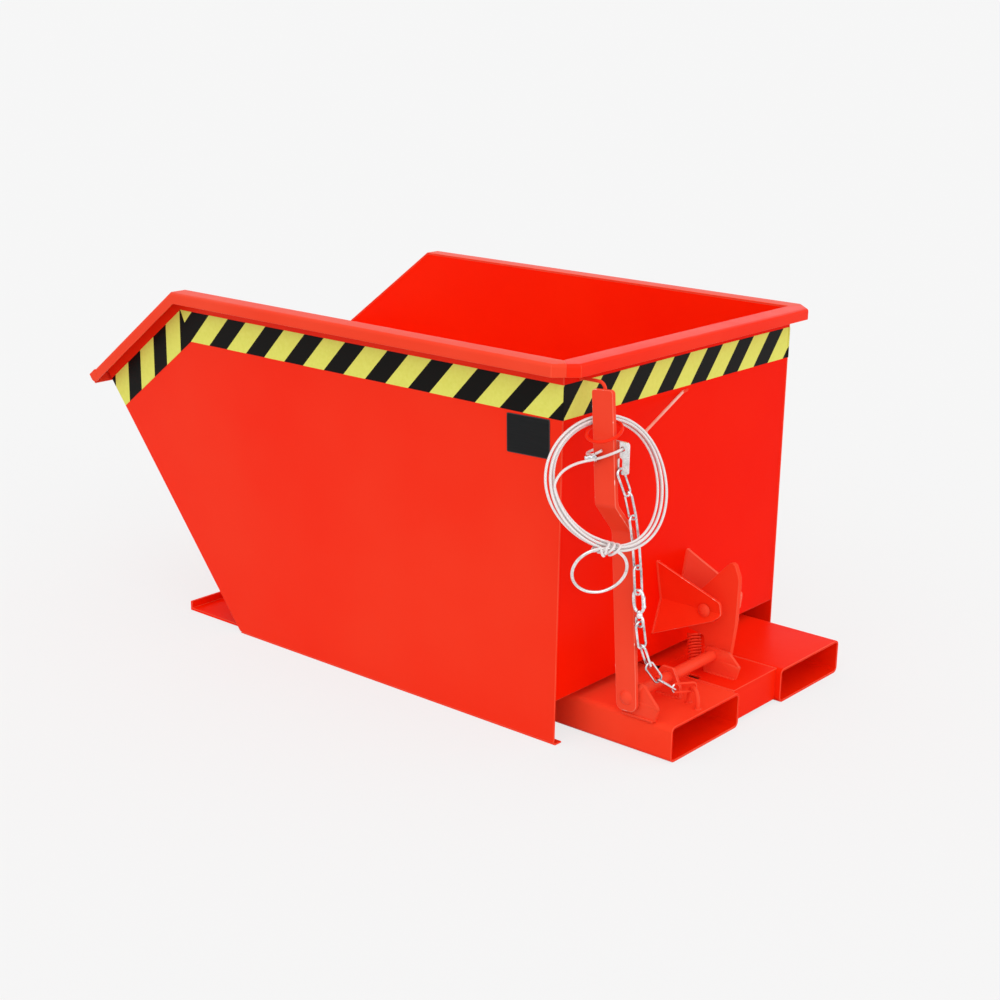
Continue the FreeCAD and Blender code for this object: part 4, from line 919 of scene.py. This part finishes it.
# bare data plate under the tape: its middle and half size in metres, and its edge's steps in and up in mm
PLATE_MIDDLE, PLATE_HALF, PLATE_TILT = (0.413, 0.5138), (0.044, 0.0322), 0.03
PLATE_POWER, PLATE_POINTS = 36, 96
PLATE_STEPS = ((0.0, 0.0), (0.0, 0.7), (0.3, 0.9), (1.6, 0.9), (1.9, 0.75), (4.0, 0.75))


def data_plate():
    """A squared oval's outline stepped inwards and up by pairs of inset and rise, closed in the middle."""
    inset, rise = np.array(PLATE_STEPS).T * MM
    wide, tall = (half - inset for half in PLATE_HALF)
    outlines = np.stack([superellipse(a, b, PLATE_POWER, PLATE_POINTS) for a, b in zip(wide, tall)])
    c, s = math.cos(PLATE_TILT), math.sin(PLATE_TILT)
    x = PLATE_MIDDLE[0] + outlines[..., 0] * c - outlines[..., 1] * s
    z = PLATE_MIDDLE[1] + outlines[..., 0] * s + outlines[..., 1] * c
    y = np.broadcast_to(NEAR - rise[:, None], x.shape)
    points = np.stack([x, y, z], -1).reshape(-1, 3)
    last = len(points) - PLATE_POINTS
    faces = quads(len(PLATE_STEPS), PLATE_POINTS) + [list(range(last, len(points)))]
    uv = np.stack([np.repeat(inset, PLATE_POINTS), np.zeros(len(points))], -1)
    made("data_plate", (points, faces), PLATE_BLACK, "skip", uv, "edge", smooth=False)


data_plate()

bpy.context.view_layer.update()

# light: the sky's strength on the object and where it is seen
SKY, BACKDROP = 0.84, 0.915
# suns: power, spread, azimuth and elevation, the last three in degrees
SUNS = (("key", 0.5, 60, 5, 48), ("fill", 0.7, 60, 75, 16), ("top", 0.2, 90, 40, 80))
# floor in metres: its grey, how much of it glows where it is seen, and the skip's stand, where it doesn't
FLOOR_GREY, FLOOR_GLOW, GLOW_STRENGTH = 0.75, 0.8, 0.951
FLOOR_HALF, FLOOR_DROP = 400.0, 0.5 * MM
STAND_MIDDLE, STAND_HALF, STAND_EDGE = (0.09, 0.0), (0.50, 0.20), 0.06


def seen_rays(start):
    """1 for camera, glossy and clear rays, 0 for light that falls on the object."""
    kinds = ("Is Camera Ray", "Is Glossy Ray", "Is Transmission Ray")
    camera, glossy, clear = (start.add("ShaderNodeLightPath", out=kind) for kind in kinds)
    return (camera + glossy + clear).between(0.0, 1.0)


def off_stand(start, axis):
    """0 over the skip's stand along an axis, and 1 an edge's width past it."""
    away = start.maths("ABSOLUTE", start.place().axis(axis) - STAND_MIDDLE[axis])
    return away.between(STAND_HALF[axis], STAND_HALF[axis] + STAND_EDGE)


def pale_floor():
    """A wide flat sheet that glows where it is seen, not under the skip, and keeps the skip's shadow."""
    corners = [(-1, -1, 0), (1, -1, 0), (1, 1, 0), (-1, 1, 0)]
    points = np.array(corners) * FLOOR_HALF - UP * FLOOR_DROP
    grey = (FLOOR_GREY, FLOOR_GREY, FLOOR_GREY, 1)
    material, start, _ = new_finish("floor", Base_Color=grey, Roughness=0.9, Specular_IOR_Level=0.0)
    tree = start.tree
    glow = start.add("ShaderNodeEmission", None, {"Color": (1, 1, 1, 1), "Strength": GLOW_STRENGTH})
    outside = start.maths("MAXIMUM", off_stand(start, 0), off_stand(start, 1))
    matt = Shade(tree, tree.nodes["Principled BSDF"].outputs[0])
    share = seen_rays(start) * outside * FLOOR_GLOW
    mixed = start.add("ShaderNodeMixShader", None, {0: share, 1: matt, 2: glow})
    tree.links.new(mixed.socket, tree.nodes["Material Output"].inputs["Surface"])
    made("floor", (points, [[0, 1, 2, 3]]), material, smooth=False)


def studio():
    """Even sky light, white where a camera, glossy or clear ray meets it, and soft suns."""
    world = bpy.data.worlds.new("studio")
    scene.world = world
    world.use_nodes = True
    tree = world.node_tree
    background = tree.nodes["Background"]
    background.inputs["Color"].default_value = (1, 1, 1, 1)
    strength = SKY + seen_rays(Shade(tree)) * (BACKDROP - SKY)
    tree.links.new(strength.socket, background.inputs["Strength"])
    for name, power, spread, azimuth, elevation in SUNS:
        lamp = bpy.data.lights.new(name, "SUN")
        lamp.energy, lamp.angle = power, math.radians(spread)
        holder = bpy.data.objects.new(name, lamp)
        back = towards(math.radians(azimuth), math.radians(elevation))
        holder.rotation_euler = (-back).to_track_quat("-Z", "Y").to_euler()
        scene.collection.objects.link(holder)


pale_floor()
studio()
